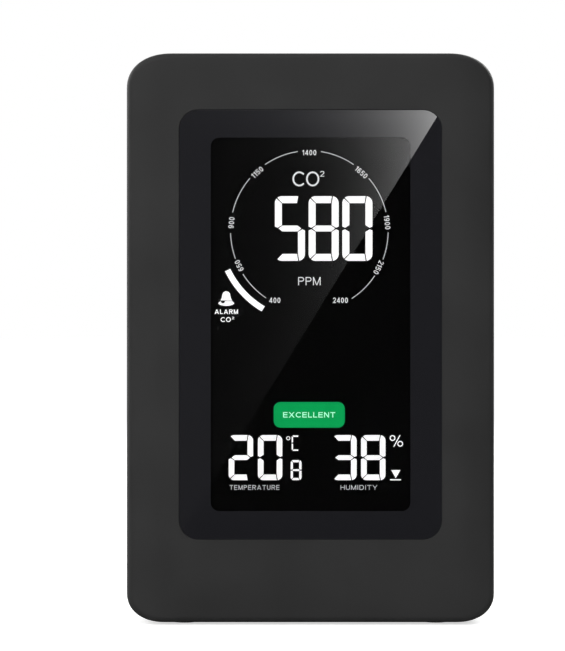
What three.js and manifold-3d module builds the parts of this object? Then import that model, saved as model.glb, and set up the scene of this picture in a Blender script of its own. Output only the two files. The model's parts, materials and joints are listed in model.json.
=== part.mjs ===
// A free-standing carbon dioxide monitor, as an assembly of separate pieces.
// Millimetres. X runs to the right seen from the front, Y from the front to the back, Z up.
// The origin is at the middle of the outer box, at the height of the feet's soles.
import * as THREE from "three";
import { mergeVertices } from "three/addons/utils/BufferGeometryUtils.js";
import Module from "manifold-3d";

const wasm = await Module();
wasm.setup();

// ---------------------------------------------------------------- driving dimensions
const WIDTH = 96;
const HEIGHT = 149;
const DEPTH = 42;
const FRONT = -DEPTH / 2;
const BACK = DEPTH / 2;
const PARTING = -6; // where the front shell ends
const SEAM = 0.3; // gap between the two shells
const WALL = 2.2;
const FOOT_DROP = 0.6; // how far the feet stand out below the shells
const FIT = 0.05; // gap between pieces that lie on each other
const PAST = 1; // how far a cutter runs past what it cuts

// Silhouette of both shells.
const CORNER_POWER = 2.2; // 2 is an ellipse, more is squarer
const CORNER_STEPS = 6;
const SILHOUETTE = {
  side: WIDTH / 2,
  low: FOOT_DROP,
  high: HEIGHT,
  topCorner: [12, 9],
  lowCorner: [10, 7.5],
};

// The front face is flat between the two rolled-off sides.
const ROLL_START = 38;
const ROLL_RADIUS = 26;
const EDGE_RADIUS = 1.6;

// The hump on the back.
const SLAB_ROUND = 3.6;
const HUMP_SIDE = 8.5; // how far the hump stands in from the silhouette
const HUMP_TOP = 19;
const HUMP_DRAFT_SIDE = 1;
const HUMP_DRAFT_TOP = 3.5;
const HUMP_ROUND = 4;
const HUMP_LOW_ROUND = 2.4;
const HUMP_FILLET = 1.5;

// The window and the display behind it.
const WINDOW = { width: 68.4, height: 111.9, round: 5, middle: 78.25, thick: 1.5 };
const WINDOW_GAP = 0.1;
const TAPE_THICK = 0.3;
const LEDGE_OPENING = { width: 62, height: 106, round: 2 };
const LEDGE_FRAME = { width: 73, height: 116, round: 4 };
const LEDGE_BACK = -17.6;
const FRONT_WALL_BACK = -18.6;

const GLASS_WIDTH = 60;
const GLASS_TOP = 129.9;
const GLASS_LOW = 27;
const CONTACT_EDGE = 1.2; // the rear glass is this much longer, for its contacts

// The boards.
const MAIN_BOARD = { width: 84, low: 19, high: 134, front: -12.3, thick: 1.6 };
const CASE_SCREWS = [
  [-28, 12],
  [28, 12],
  [-30, 139.3],
  [30, 139.3],
];
const BOARD_SCREWS = [
  [-38.5, 27],
  [38.5, 27],
  [-38.5, 128],
  [38.5, 128],
];
const SCREW_SEAT = -2.1; // the floor of the screw wells
const BOSS_ROOT = 0.4; // how far a boss or a rib runs into the front wall
const CASE_BOSS = { front: 4, rear: 4.5, pilot: 1.6, clear: 1.7, well: 3.3 };
const BOARD_BOSS = { radius: 3, pilot: 1.15, clear: 1.3 };
const PILOT_END = -17; // where the pilot holes in the front bosses stop

// The push buttons.
const KEY_HEIGHT = 108;
const KEY_PITCH = 15;
const KEYS = ["set", "up", "down", "alarm"];
const KEY_LENGTH = 11;
const KEY_WIDTH = 6.6;
const KEY_GAP = 0.2;
const KEY_TRAVEL = 0.8;
const KEY_RECESS = { width: 64, height: 12.6 };
const KEY_FLOOR = 19.8;
const KEY_PAD_FRONT = 17.9;
const KEY_BOARD = { width: 68, height: 13, front: 10.8, thick: 1.2 };
const KEY_POST = 31.5;
const KEY_PAD = { half: 33, reach: 7.8 }; // thickens the rear wall behind the buttons

// The socket and the slide switch.
const POWER_BOARD = { width: 41, front: 4.6, back: 18.2, low: 6.6, thick: 1.2 };
const POWER_POST = 17.8;
const SOCKET_X = -10;
const SOCKET = { width: 7.6, height: 2.9, front: 13.6, back: 19.4, wall: 0.3 };
const SWITCH_X = 10;
const SWITCH = { width: 9, height: 3.8, front: 12.6, back: 16.4 };
const SWITCH_TRAVEL = 2.5;
const RECESS_DEPTH = 1; // around the socket and the switch, in the back
const POST = { radius: 2.2, pin: 1, head: 1.7, hole: 1.3 }; // moulded posts with riveted pins

// Slots for the air.
const SLOT_HEIGHT = 1.8;
const SLOT_PITCH = 4.4;
const BACK_SLOTS = { count: 9, length: 44, middle: 67 };
const SIDE_SLOTS = { count: 7, front: 5, back: 14, middle: 67 };
const TOP_SLOTS = { count: 11, front: 5, back: 14, pitch: 4.8 };
const BASE_SLOTS = { count: 7, front: -3, back: 3.5, pitch: 4.8 };

const BATTERY = { radius: 9.2, length: 65.2, y: 8.2, z: 31 };
const CLIMATE_BOARD = { x: -35, y: 9, z: 59.5, half: 7 };
const FEET = [
  [-33, -11],
  [33, -11],
  [-31, 12.5],
  [31, 12.5],
];
const FOOT_RADIUS = 3.8;
const FOOT_THICK = 1.55;

// ---------------------------------------------------------------- colours
const plastic = (color, roughness = 0.6) =>
  new THREE.MeshStandardMaterial({ color, roughness, metalness: 0 });
const metal = (color, roughness = 0.35) => new THREE.MeshStandardMaterial({ color, roughness, metalness: 1 });
const LOOKS = {
  housing: plastic("#353535", 0.62),
  window: plastic("#0c0c0d", 0.05),
  tape: plastic("#141414", 0.8),
  blackPlastic: plastic("#1a1a1b", 0.5),
  whitePlastic: plastic("#e9e9e6", 0.5),
  lcd: plastic("#060606", 0.15),
  glass: plastic("#1b2220", 0.08),
  lightGuide: plastic("#e6eef2", 0.12),
  reflector: plastic("#f4f4f4", 0.4),
  rubber: plastic("#161616", 0.85),
  board: plastic("#1c5a34", 0.45),
  chip: plastic("#121212", 0.5),
  gold: metal("#c9a24a", 0.3),
  steel: metal("#b8babd", 0.3),
  membrane: plastic("#f2f2ee", 0.9),
  batterySleeve: plastic("#2f6fae", 0.4),
  red: plastic("#b3201c", 0.5),
  black: plastic("#111111", 0.5),
  ribbon: plastic("#d9d3c2", 0.5),
  foam: plastic("#1d1d1d", 0.95),
};

// ---------------------------------------------------------------- solids
// A three.js geometry as a manifold-3d solid.
function solid(geometry) {
  const bare = geometry.index ? geometry.toNonIndexed() : geometry.clone();
  bare.deleteAttribute("normal");
  bare.deleteAttribute("uv");
  const merged = mergeVertices(bare, 1e-4);
  return new wasm.Manifold(
    new wasm.Mesh({
      numProp: 3,
      vertProperties: merged.attributes.position.array,
      triVerts: new Uint32Array(merged.index.array),
    }),
  );
}

// A manifold-3d solid as a three.js geometry.
function geometryOf(body) {
  const { vertProperties, triVerts } = body.getMesh();
  const geometry = new THREE.BufferGeometry();
  geometry.setAttribute("position", new THREE.BufferAttribute(new Float32Array(vertProperties), 3));
  geometry.setIndex(new THREE.BufferAttribute(new Uint32Array(triVerts), 1));
  geometry.computeVertexNormals();
  return geometry;
}

const joined = (first, ...rest) => rest.reduce((sum, piece) => sum.add(piece), first);
const cut = (body, ...tools) => tools.reduce((left, tool) => left.subtract(tool), body);

// ---------------------------------------------------------------- shapes
function box([x0, x1], [y0, y1], [z0, z1]) {
  const geometry = new THREE.BoxGeometry(x1 - x0, y1 - y0, z1 - z0);
  return geometry.translate((x0 + x1) / 2, (y0 + y1) / 2, (z0 + z1) / 2);
}

// A rounded rectangle about (x, z).
function roundedRect(width, height, round, x = 0, z = 0) {
  const [w, h] = [width / 2, height / 2];
  const shape = new THREE.Shape();
  shape.absarc(x + w - round, z - h + round, round, -Math.PI / 2, 0);
  shape.absarc(x + w - round, z + h - round, round, 0, Math.PI / 2);
  shape.absarc(x - w + round, z + h - round, round, Math.PI / 2, Math.PI);
  shape.absarc(x - w + round, z - h + round, round, Math.PI, 1.5 * Math.PI);
  return shape;
}

const slotShape = (length, height, x = 0, z = 0) => roundedRect(length, height, height / 2 - 0.001, x, z);

// An upright shape in X and Z, given its thickness from one Y to another.
function upright(shape, [yFront, yBack], segments = 5) {
  const geometry = new THREE.ExtrudeGeometry(shape, {
    depth: yBack - yFront,
    bevelEnabled: false,
    curveSegments: segments,
  });
  return geometry.rotateX(Math.PI / 2).translate(0, yBack, 0);
}

// A round bar along Y.
function barY(radius, [yFront, yBack], x = 0, z = 0, sides = 20) {
  const geometry = new THREE.CylinderGeometry(radius, radius, yBack - yFront, sides);
  return geometry.translate(x, (yFront + yBack) / 2, z);
}

// A round bar along Z.
function barZ(radius, [zLow, zHigh], x = 0, y = 0, sides = 20) {
  const geometry = new THREE.CylinderGeometry(radius, radius, zHigh - zLow, sides);
  return geometry.rotateX(Math.PI / 2).translate(x, y, (zLow + zHigh) / 2);
}

// Places in a row, `pitch` apart and centred on zero.
const row = (count, pitch) => Array.from({ length: count }, (_, i) => (i - (count - 1) / 2) * pitch);

// A section of the housing: an outline with superelliptic corners, anticlockwise seen from the front.
function outline({ side, low, high, topCorner, lowCorner }) {
  const quarter = ([across, up], x, z, start) =>
    Array.from({ length: CORNER_STEPS + 1 }, (_, i) => {
      const turn = start + (i / CORNER_STEPS) * (Math.PI / 2);
      const bend = (value) => Math.sign(value) * Math.abs(value) ** (2 / CORNER_POWER);
      return new THREE.Vector2(x + across * bend(Math.cos(turn)), z + up * bend(Math.sin(turn)));
    });
  const [ta, tu] = topCorner;
  const [la, lu] = lowCorner;
  return [
    ...quarter(lowCorner, side - la, low + lu, -Math.PI / 2),
    ...quarter(topCorner, side - ta, high - tu, 0),
    ...quarter(topCorner, -side + ta, high - tu, Math.PI / 2),
    ...quarter(lowCorner, -side + la, low + lu, Math.PI),
  ];
}

// The section moved in by its own amount at the sides, top and bottom.
const LEAST_CORNER = 0.8;
function inset(section, side, top = side, low = side) {
  const less = (corner, by) => corner.map((radius) => Math.max(LEAST_CORNER, radius - by));
  return {
    side: section.side - side,
    low: section.low + low,
    high: section.high - top,
    topCorner: less(section.topCorner, Math.min(side, top)),
    lowCorner: less(section.lowCorner, Math.min(side, low)),
  };
}

// A closed body through rings of points, from the front ring to the back ring, with flat ends.
function loft(rings) {
  const count = rings[0].length;
  const faces = [];
  for (let r = 0; r + 1 < rings.length; r++) {
    for (let i = 0; i < count; i++) {
      const next = (i + 1) % count;
      const [f, g] = [r * count + i, r * count + next];
      const [b, c] = [f + count, g + count];
      faces.push(f, b, g, g, b, c);
    }
  }
  const endFaces = (ring) =>
    THREE.ShapeUtils.triangulateShape(
      ring.map((p) => new THREE.Vector2(p.x, p.z)),
      [],
    );
  for (const [a, b, c] of endFaces(rings[0])) faces.push(a, b, c);
  const last = (rings.length - 1) * count;
  for (const [a, b, c] of endFaces(rings.at(-1))) faces.push(last + a, last + c, last + b);
  const geometry = new THREE.BufferGeometry().setFromPoints(rings.flat());
  geometry.setIndex(faces);
  return geometry;
}

// A ring of an outline at one Y, or at a Y that depends on X.
function ring(section, y) {
  return outline(section).map((p) => new THREE.Vector3(p.x, typeof y === "function" ? y(p.x) : y, p.y));
}

// A prism of a section between two Ys.
const prism = (section, [yFront, yBack]) => loft([ring(section, yFront), ring(section, yBack)]);

// Steps of a quarter turn, as [how far in, how far along] of a round of radius one.
const quarterSteps = (count) =>
  Array.from({ length: count }, (_, i) => {
    const turn = ((i + 1) / count) * (Math.PI / 2);
    return [1 - Math.cos(turn), Math.sin(turn)];
  });

// ---------------------------------------------------------------- front shell
const rollOff = (x) => {
  const out = Math.max(0, Math.abs(x) - ROLL_START);
  return ROLL_RADIUS - Math.sqrt(ROLL_RADIUS ** 2 - out ** 2);
};

function frontBlock() {
  const faceRing = (inward, setback) => ring(inset(SILHOUETTE, inward), (x) => FRONT + rollOff(x) + setback);
  const flat = WIDTH / 2 - ROLL_START;
  const rings = [flat, 0.7 * flat, 0.4 * flat, EDGE_RADIUS].map((inward) => faceRing(inward, 0));
  for (const [back, out] of quarterSteps(3)) {
    rings.push(faceRing(EDGE_RADIUS * (1 - out), EDGE_RADIUS * back));
  }
  rings.push(ring(SILHOUETTE, PARTING));
  return loft(rings);
}

function frontCavity() {
  const narrow = inset(SILHOUETTE, 3 * WALL);
  const wide = inset(SILHOUETTE, WALL);
  return loft([
    ring(narrow, FRONT_WALL_BACK),
    ring(wide, FRONT_WALL_BACK + WALL),
    ring(wide, PARTING + PAST),
  ]);
}

function framed(outer, inner, span) {
  const shape = roundedRect(outer.width, outer.height, outer.round, 0, WINDOW.middle);
  shape.holes.push(roundedRect(inner.width, inner.height, inner.round, 0, WINDOW.middle));
  return upright(shape, span);
}

const windowPlate = (grow, span) =>
  upright(
    roundedRect(WINDOW.width + 2 * grow, WINDOW.height + 2 * grow, WINDOW.round + grow, 0, WINDOW.middle),
    span,
    8,
  );

const footRecess = ([x, y]) => solid(barZ(FOOT_RADIUS + 0.2, [0, FOOT_THICK + FIT], x, y, 18));

function frontShell() {
  const seat = FRONT + WINDOW.thick + TAPE_THICK + FIT;
  const { width, height, round } = LEDGE_OPENING;
  const opening = roundedRect(width, height, round, 0, WINDOW.middle);
  const root = FRONT_WALL_BACK - BOSS_ROOT;
  const ledge = solid(framed(LEDGE_FRAME, LEDGE_OPENING, [root, LEDGE_BACK]));
  const caseBosses = CASE_SCREWS.map(([x, z]) =>
    solid(barY(CASE_BOSS.front, [root, PARTING - 0.1], x, z, 14)),
  );
  const caseHoles = CASE_SCREWS.map(([x, z]) =>
    solid(barY(CASE_BOSS.pilot, [PILOT_END, PARTING], x, z, 10)),
  );
  const boardBosses = BOARD_SCREWS.map(([x, z]) =>
    solid(barY(BOARD_BOSS.radius, [root, MAIN_BOARD.front - FIT], x, z, 12)),
  );
  const boardHoles = BOARD_SCREWS.map(([x, z]) =>
    solid(barY(BOARD_BOSS.pilot, [PILOT_END, MAIN_BOARD.front], x, z, 10)),
  );
  const walls = cut(
    solid(frontBlock()),
    solid(frontCavity()),
    solid(windowPlate(WINDOW_GAP, [FRONT - PAST, seat])),
    solid(upright(opening, [FRONT - PAST, LEDGE_BACK + PAST])),
    ...FEET.slice(0, 2).map(footRecess),
  );
  return cut(joined(walls, ledge, ...caseBosses, ...boardBosses), ...caseHoles, ...boardHoles);
}

// ---------------------------------------------------------------- rear shell
function rearBlock() {
  const start = PARTING + SEAM;
  const rings = [ring(SILHOUETTE, start), ring(SILHOUETTE, -SLAB_ROUND)];
  for (const [inward, along] of quarterSteps(3)) {
    const round = SLAB_ROUND * inward;
    rings.push(ring(inset(SILHOUETTE, round, round, 0), -SLAB_ROUND * (1 - along)));
  }
  // The hump's sections share one set of corners.
  const hump = (side, top, low, y) => {
    const section = inset(SILHOUETTE, side, top, low);
    return ring({ ...section, topCorner: [9, 9], lowCorner: [5, 5] }, y);
  };
  const base = 0.3; // keeps the slab's back and the hump's foot apart in Y
  for (const [inward, along] of [[0, 0], ...quarterSteps(2)]) {
    const out = HUMP_FILLET * (1 - along);
    rings.push(hump(HUMP_SIDE - out, HUMP_TOP - out, 0, base + HUMP_FILLET * inward));
  }
  const [side, top] = [HUMP_SIDE + HUMP_DRAFT_SIDE, HUMP_TOP + HUMP_DRAFT_TOP];
  const wallEnd = BACK - HUMP_ROUND;
  rings.push(hump(side, top, 0, wallEnd));
  for (const [inward, along] of quarterSteps(4)) {
    const round = HUMP_ROUND * inward;
    rings.push(hump(side + round, top + round, HUMP_LOW_ROUND * inward, wallEnd + HUMP_ROUND * along));
  }
  return loft(rings);
}

function rearCavity() {
  const slab = inset(SILHOUETTE, WALL + 0.2, WALL + 0.2, WALL);
  const inHump = (grow, y) => {
    const section = inset(SILHOUETTE, HUMP_SIDE + WALL + grow, HUMP_TOP + WALL + 3 * grow, WALL + 0.4 * grow);
    return ring({ ...section, topCorner: [7, 7], lowCorner: [3, 3] }, y);
  };
  return loft([
    ring(slab, PARTING - PAST),
    ring(slab, -WALL - 0.3),
    inHump(0, -WALL + 0.1),
    inHump(0, HUMP_FILLET),
    inHump(HUMP_DRAFT_SIDE, BACK - HUMP_ROUND - 0.6),
    inHump(HUMP_DRAFT_SIDE + 2, BACK - WALL),
  ]);
}

// The lip that locates the rear shell inside the front shell.
function lip() {
  const band = (outer, inner, span) =>
    solid(prism(inset(SILHOUETTE, outer), span)).subtract(
      solid(prism(inset(SILHOUETTE, inner), [span[0] - PAST, span[1] + PAST])),
    );
  const rearEdge = PARTING + SEAM;
  const tongue = band(WALL + 0.25, WALL + 1.4, [rearEdge - 1.7, rearEdge + 0.2]);
  const rooted = band(WALL - 0.2, WALL + 1.4, [rearEdge, rearEdge + 2]);
  return joined(tongue, rooted);
}

function rearCutters() {
  const throughBack = [BACK - WALL - PAST, BACK + PAST];
  const slots = row(BACK_SLOTS.count, SLOT_PITCH).map((z) =>
    solid(upright(slotShape(BACK_SLOTS.length, SLOT_HEIGHT, 0, BACK_SLOTS.middle + z), throughBack, 2)),
  );
  const across = [-WIDTH / 2, WIDTH / 2];
  const sideSlots = row(SIDE_SLOTS.count, SLOT_PITCH).flatMap((z) => {
    const span = [SIDE_SLOTS.middle + z - SLOT_HEIGHT / 2, SIDE_SLOTS.middle + z + SLOT_HEIGHT / 2];
    return [
      solid(box([across[0], -34], [SIDE_SLOTS.front, SIDE_SLOTS.back], span)),
      solid(box([34, across[1]], [SIDE_SLOTS.front, SIDE_SLOTS.back], span)),
    ];
  });
  const upDown = ({ count, pitch, front, back }, heights) =>
    row(count, pitch).map((x) =>
      solid(box([x - SLOT_HEIGHT / 2, x + SLOT_HEIGHT / 2], [front, back], heights)),
    );
  const topSlots = upDown(TOP_SLOTS, [122, 134]);
  const baseSlots = upDown(BASE_SLOTS, [0, FOOT_DROP + WALL + 0.6]);
  return [...slots, ...sideSlots, ...topSlots, ...baseSlots];
}

const keyPlaces = row(KEYS.length, KEY_PITCH);

function rearShell() {
  const bosses = CASE_SCREWS.map(([x, z]) =>
    solid(barY(CASE_BOSS.rear, [PARTING + 0.1, z < HEIGHT / 2 ? BACK - 1.5 : -1], x, z, 16)),
  );
  const wells = CASE_SCREWS.map(([x, z]) => solid(barY(CASE_BOSS.well, [SCREW_SEAT, BACK + PAST], x, z, 16)));
  const holes = CASE_SCREWS.map(([x, z]) =>
    solid(barY(CASE_BOSS.clear, [PARTING - PAST, SCREW_SEAT + PAST], x, z, 10)),
  );

  const padHeights = [KEY_HEIGHT - KEY_PAD.reach, KEY_HEIGHT + KEY_PAD.reach];
  const keyPad = solid(box([-KEY_PAD.half, KEY_PAD.half], [KEY_PAD_FRONT, BACK - WALL + 0.2], padHeights));
  const keyRecess = solid(
    upright(slotShape(KEY_RECESS.width, KEY_RECESS.height, 0, KEY_HEIGHT), [KEY_FLOOR, BACK + PAST], 4),
  );
  const keyHoles = keyPlaces.map((x) => {
    const shape = slotShape(KEY_LENGTH + 2 * KEY_GAP, KEY_WIDTH + 2 * KEY_GAP, x, KEY_HEIGHT);
    return solid(upright(shape, [KEY_PAD_FRONT - PAST, BACK + PAST], 3));
  });
  const boardBack = KEY_BOARD.front + KEY_BOARD.thick;
  const keyPosts = [-KEY_POST, KEY_POST].flatMap((x) => [
    solid(barY(POST.radius, [boardBack + FIT, BACK - WALL + 0.1], x, KEY_HEIGHT, 12)),
    solid(barY(POST.pin, [KEY_BOARD.front - 0.4, boardBack + 1], x, KEY_HEIGHT, 10)),
    solid(barY(POST.head, [KEY_BOARD.front - 0.8, KEY_BOARD.front - 0.1], x, KEY_HEIGHT, 12)),
  ]);

  const floor = FOOT_DROP + WALL;
  const boardTop = POWER_BOARD.low + POWER_BOARD.thick;
  const powerPosts = [-POWER_POST, POWER_POST].flatMap((x) => [
    solid(barZ(POST.radius, [floor - 0.2, POWER_BOARD.low - FIT], x, 9, 12)),
    solid(barZ(POST.pin, [POWER_BOARD.low - 1, boardTop + 0.4], x, 9, 10)),
    solid(barZ(POST.head, [boardTop + 0.1, boardTop + 0.8], x, 9, 12)),
  ]);
  const socketMiddle = boardTop + FIT + SOCKET.height / 2;
  const socketHole = solid(
    upright(
      roundedRect(SOCKET.width + 0.6, SOCKET.height + 0.6, 0.6, SOCKET_X, socketMiddle),
      [BACK - 4, BACK + PAST],
      3,
    ),
  );
  const recessDepth = [BACK - RECESS_DEPTH, BACK + PAST];
  const socketRecess = solid(upright(roundedRect(12.4, 7.6, 1.6, SOCKET_X, socketMiddle), recessDepth, 4));
  const switchMiddle = boardTop + FIT + SWITCH.height / 2;
  const switchHole = solid(
    upright(roundedRect(7.2, 2.8, 0.4, SWITCH_X, switchMiddle), [BACK - 4, BACK + PAST], 3),
  );
  const switchRecess = solid(upright(roundedRect(12.4, 6.2, 1.4, SWITCH_X, switchMiddle), recessDepth, 4));
  const powerWall = solid(
    box([-18, 18], [BACK - WALL - 1, BACK - WALL + 0.2], [boardTop + 0.8, boardTop + 7]),
  );

  const sensorClips = [-CLIMATE_BOARD.half, CLIMATE_BOARD.half].map((up) => {
    const [x, z] = [CLIMATE_BOARD.x, CLIMATE_BOARD.z + up];
    return solid(box([x - 1.3, x + 1.4], [13.85, BACK - WALL + 0.1], [z - 0.8, z + 0.8]));
  });
  const shellWalls = cut(solid(rearBlock()), solid(rearCavity()));
  return cut(
    joined(shellWalls, lip(), keyPad, powerWall, ...bosses, ...keyPosts, ...powerPosts, ...sensorClips),
    keyRecess,
    ...keyHoles,
    socketHole,
    socketRecess,
    switchHole,
    switchRecess,
    ...wells,
    ...holes,
    ...rearCutters(),
    ...FEET.slice(2).map(footRecess),
  );
}

// ---------------------------------------------------------------- assembly
const monitor = new THREE.Group();

function place(parent, name, shape, look, [x, y, z] = [0, 0, 0]) {
  const geometry = shape.isBufferGeometry ? shape : geometryOf(shape);
  const mesh = new THREE.Mesh(geometry, look);
  mesh.name = name;
  mesh.position.set(x, y, z);
  parent.add(mesh);
  return mesh;
}

const assembly = (x, y, z) => {
  const group = new THREE.Group();
  group.position.set(x, y, z);
  monitor.add(group);
  return group;
};

// ---- housing
place(monitor, "front_shell", frontShell(), LOOKS.housing);
place(monitor, "rear_shell", rearShell(), LOOKS.housing);

// Feet: round pads with a chamfered sole.
function foot() {
  const chamfer = 0.4;
  const profile = [
    [0, 0],
    [FOOT_RADIUS - chamfer, 0],
    [FOOT_RADIUS, chamfer],
    [FOOT_RADIUS, FOOT_THICK],
    [0, FOOT_THICK],
  ].map(([radius, height]) => new THREE.Vector2(radius, height));
  return new THREE.LatheGeometry(profile, 18).rotateX(Math.PI / 2);
}
FEET.forEach(([x, y], i) => place(monitor, `foot_${i + 1}`, foot(), LOOKS.rubber, [x, y, 0]));

// A cross-headed screw along Y, head to the back, seated at y = 0.
function screw({ headRadius, headHeight, shankRadius, length }) {
  const dome = 0.3 * headHeight;
  const tip = 1;
  const profile = [
    [0, -length],
    [0.3 * shankRadius, -length],
    [shankRadius, -length + tip],
    [shankRadius, 0],
    [headRadius, 0],
    [headRadius, headHeight - 1.5 * dome],
    [0.6 * headRadius, headHeight],
    [0, headHeight],
  ].map(([radius, height]) => new THREE.Vector2(radius, height));
  const arm = 0.5 * headRadius;
  const half = 0.13 * headRadius;
  const depth = [0.35 * headHeight, headHeight + PAST];
  return cut(
    solid(new THREE.LatheGeometry(profile, 12)),
    solid(box([-arm, arm], depth, [-half, half])),
    solid(box([-half, half], depth, [-arm, arm])),
  );
}
const caseScrew = geometryOf(screw({ headRadius: 2.8, headHeight: 1.9, shankRadius: 1.3, length: 11.5 }));
CASE_SCREWS.forEach(([x, z], i) =>
  place(monitor, `case_screw_${i + 1}`, caseScrew, LOOKS.steel, [x, SCREW_SEAT + FIT, z]),
);

// ---- window and display
const lensBack = FRONT + WINDOW.thick;
place(monitor, "display_window", windowPlate(0, [FRONT, lensBack]), LOOKS.window);
const tapeOuter = { width: WINDOW.width - 0.8, height: WINDOW.height - 0.8, round: WINDOW.round - 0.4 };
const tapeInner = { width: LEDGE_OPENING.width + 1, height: LEDGE_OPENING.height + 1, round: 2.5 };
const tape = framed(tapeOuter, tapeInner, [lensBack + FIT, lensBack + TAPE_THICK]);
place(monitor, "window_tape", tape, LOOKS.tape);

// The display stack, front to back: name, thickness, width, low edge, high edge, look.
const display = assembly(0, lensBack + TAPE_THICK, 0);
const glassLow = GLASS_LOW - CONTACT_EDGE;
const guideHigh = GLASS_TOP - 3;
const STACK = [
  ["lcd_front_polariser", 0.2, 58, GLASS_LOW + 1, GLASS_TOP - 1, LOOKS.lcd],
  ["lcd_front_glass", 1.1, GLASS_WIDTH, GLASS_LOW, GLASS_TOP, LOOKS.glass],
  ["lcd_rear_glass", 1.1, GLASS_WIDTH, glassLow, GLASS_TOP, LOOKS.glass],
  ["lcd_rear_polariser", 0.2, 58, GLASS_LOW + 1, GLASS_TOP - 1, LOOKS.lcd],
  ["backlight_diffuser", 0.3, GLASS_WIDTH, GLASS_LOW + 0.2, guideHigh, LOOKS.whitePlastic],
  ["backlight_guide", 3, GLASS_WIDTH, GLASS_LOW + 0.2, guideHigh, LOOKS.lightGuide],
  ["backlight_reflector", 0.2, GLASS_WIDTH, GLASS_LOW + 0.2, guideHigh, LOOKS.reflector],
];
let depthSoFar = FIT;
const layerFront = {};
for (const [name, thick, width, low, high, look] of STACK) {
  layerFront[name] = depthSoFar;
  place(display, name, box([-width / 2, width / 2], [depthSoFar, depthSoFar + thick], [low, high]), look);
  depthSoFar += thick + FIT;
}
const guideFront = layerFront.backlight_guide;
const boardGap = MAIN_BOARD.front - display.position.y - FIT; // the main board's front, seen from the stack

// The frame holds the stack against the ledge, and the elastomer strip joins the rear glass to the board.
const frameFront = LEDGE_BACK + 0.1 - display.position.y;
const frameShape = roundedRect(66, GLASS_TOP - glassLow + 6, 1.5, 0, (GLASS_TOP + glassLow) / 2);
frameShape.holes.push(
  roundedRect(GLASS_WIDTH + 0.6, GLASS_TOP - glassLow + 0.6, 0.3, 0, (GLASS_TOP + glassLow) / 2),
);
place(display, "lcd_frame", upright(frameShape, [frameFront, boardGap], 3), LOOKS.blackPlastic);
const contactFront = layerFront.lcd_rear_glass + 1.1 + FIT;
place(
  display,
  "elastomer_connector",
  box([-26, 26], [contactFront, boardGap], [glassLow + 0.1, glassLow + CONTACT_EDGE]),
  LOOKS.rubber,
);

// A thin strip with a row of lamps facing down into the light guide.
function lampBar() {
  const strip = solid(box([-28, 28], [guideFront, guideFront + 2.8], [1.2, 2]));
  const lamps = row(6, 9).map((x) =>
    solid(box([x - 1.5, x + 1.5], [guideFront + 0.4, guideFront + 2.4], [0, 1.3])),
  );
  return joined(strip, ...lamps);
}
place(display, "backlight_led_bar", lampBar(), LOOKS.whitePlastic, [0, 0, guideHigh + 0.2]);

// ---- main board
const boardBack = MAIN_BOARD.front + MAIN_BOARD.thick;
const boardMiddle = (MAIN_BOARD.low + MAIN_BOARD.high) / 2;
const boardShape = roundedRect(MAIN_BOARD.width, MAIN_BOARD.high - MAIN_BOARD.low, 2, 0, boardMiddle);
for (const [x, z] of BOARD_SCREWS) {
  boardShape.holes.push(new THREE.Path().absarc(x, z, BOARD_BOSS.clear, 0, 2 * Math.PI));
}
place(monitor, "main_board", upright(boardShape, [MAIN_BOARD.front, boardBack], 4), LOOKS.board);
const boardScrew = geometryOf(screw({ headRadius: 2, headHeight: 1.3, shankRadius: 0.9, length: 5 }));
BOARD_SCREWS.forEach(([x, z], i) =>
  place(monitor, `board_screw_${i + 1}`, boardScrew, LOOKS.steel, [x, boardBack + FIT, z]),
);

const onBoard = assembly(0, boardBack + FIT, 0);
// The controller: a flat chip with a row of legs on each of its four sides.
function controller() {
  const body = solid(box([-6, 6], [0.15, 1.6], [-6, 6]));
  const legs = row(6, 1.6).flatMap((at) =>
    [-1, 1].flatMap((end) => {
      const out = [5.5 * end, 7 * end].sort((a, b) => a - b);
      const across = [at - 0.3, at + 0.3];
      return [solid(box(across, [0, 0.5], out)), solid(box(out, [0, 0.5], across))];
    }),
  );
  return joined(body, ...legs);
}
place(onBoard, "main_controller", controller(), LOOKS.chip, [-22, 0, 84]);
// The buzzer: a round can with a sound hole.
place(
  onBoard,
  "piezo_buzzer",
  cut(solid(barY(6, [0, 5.4], 0, 0, 28)), solid(barY(1.1, [3.4, 6.4], 0, 0, 10))),
  LOOKS.blackPlastic,
  [26, 0, 92],
);

// The infrared carbon dioxide module: a board on pin headers, the measuring chamber and its membrane.
const moduleLift = 3;
const chamberFront = moduleLift + 1;
const sensor = new THREE.Group();
sensor.position.set(2, 0, 66);
onBoard.add(sensor);
place(
  sensor,
  "co2_module_board",
  joined(
    solid(box([-10, 10], [moduleLift, chamberFront], [-17, 17])),
    solid(box([-9, 9], [0, moduleLift + 0.2], [-16.4, -14])),
    solid(box([-9, 9], [0, moduleLift + 0.2], [14, 16.4])),
  ),
  LOOKS.board,
);
place(
  sensor,
  "co2_module_chamber",
  joined(
    solid(upright(roundedRect(17, 27, 2), [chamberFront + FIT, chamberFront + 5.6], 4)),
    solid(upright(roundedRect(14, 22, 2), [chamberFront + 5.2, chamberFront + 6.6], 4)),
  ),
  LOOKS.gold,
);
const membraneFront = chamberFront + 6.6 + FIT;
place(
  sensor,
  "co2_module_membrane",
  upright(roundedRect(11, 17, 1.5), [membraneFront, membraneFront + 0.4], 4),
  LOOKS.membrane,
);

// The battery socket on the board and the plug in it.
const plugX = -33;
const plugZ = 47;
place(
  onBoard,
  "battery_socket",
  cut(solid(box([-3.5, 3.5], [0, 5], [-3, 3])), solid(box([-2.9, 2.9], [1, 6], [-2.4, 2.4]))),
  LOOKS.whitePlastic,
  [plugX, 0, plugZ],
);
const plug = box([-2.8, 2.8], [1.1, 6.4], [-2.3, 2.3]);
place(onBoard, "battery_plug", plug, LOOKS.whitePlastic, [plugX, 0, plugZ]);

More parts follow.
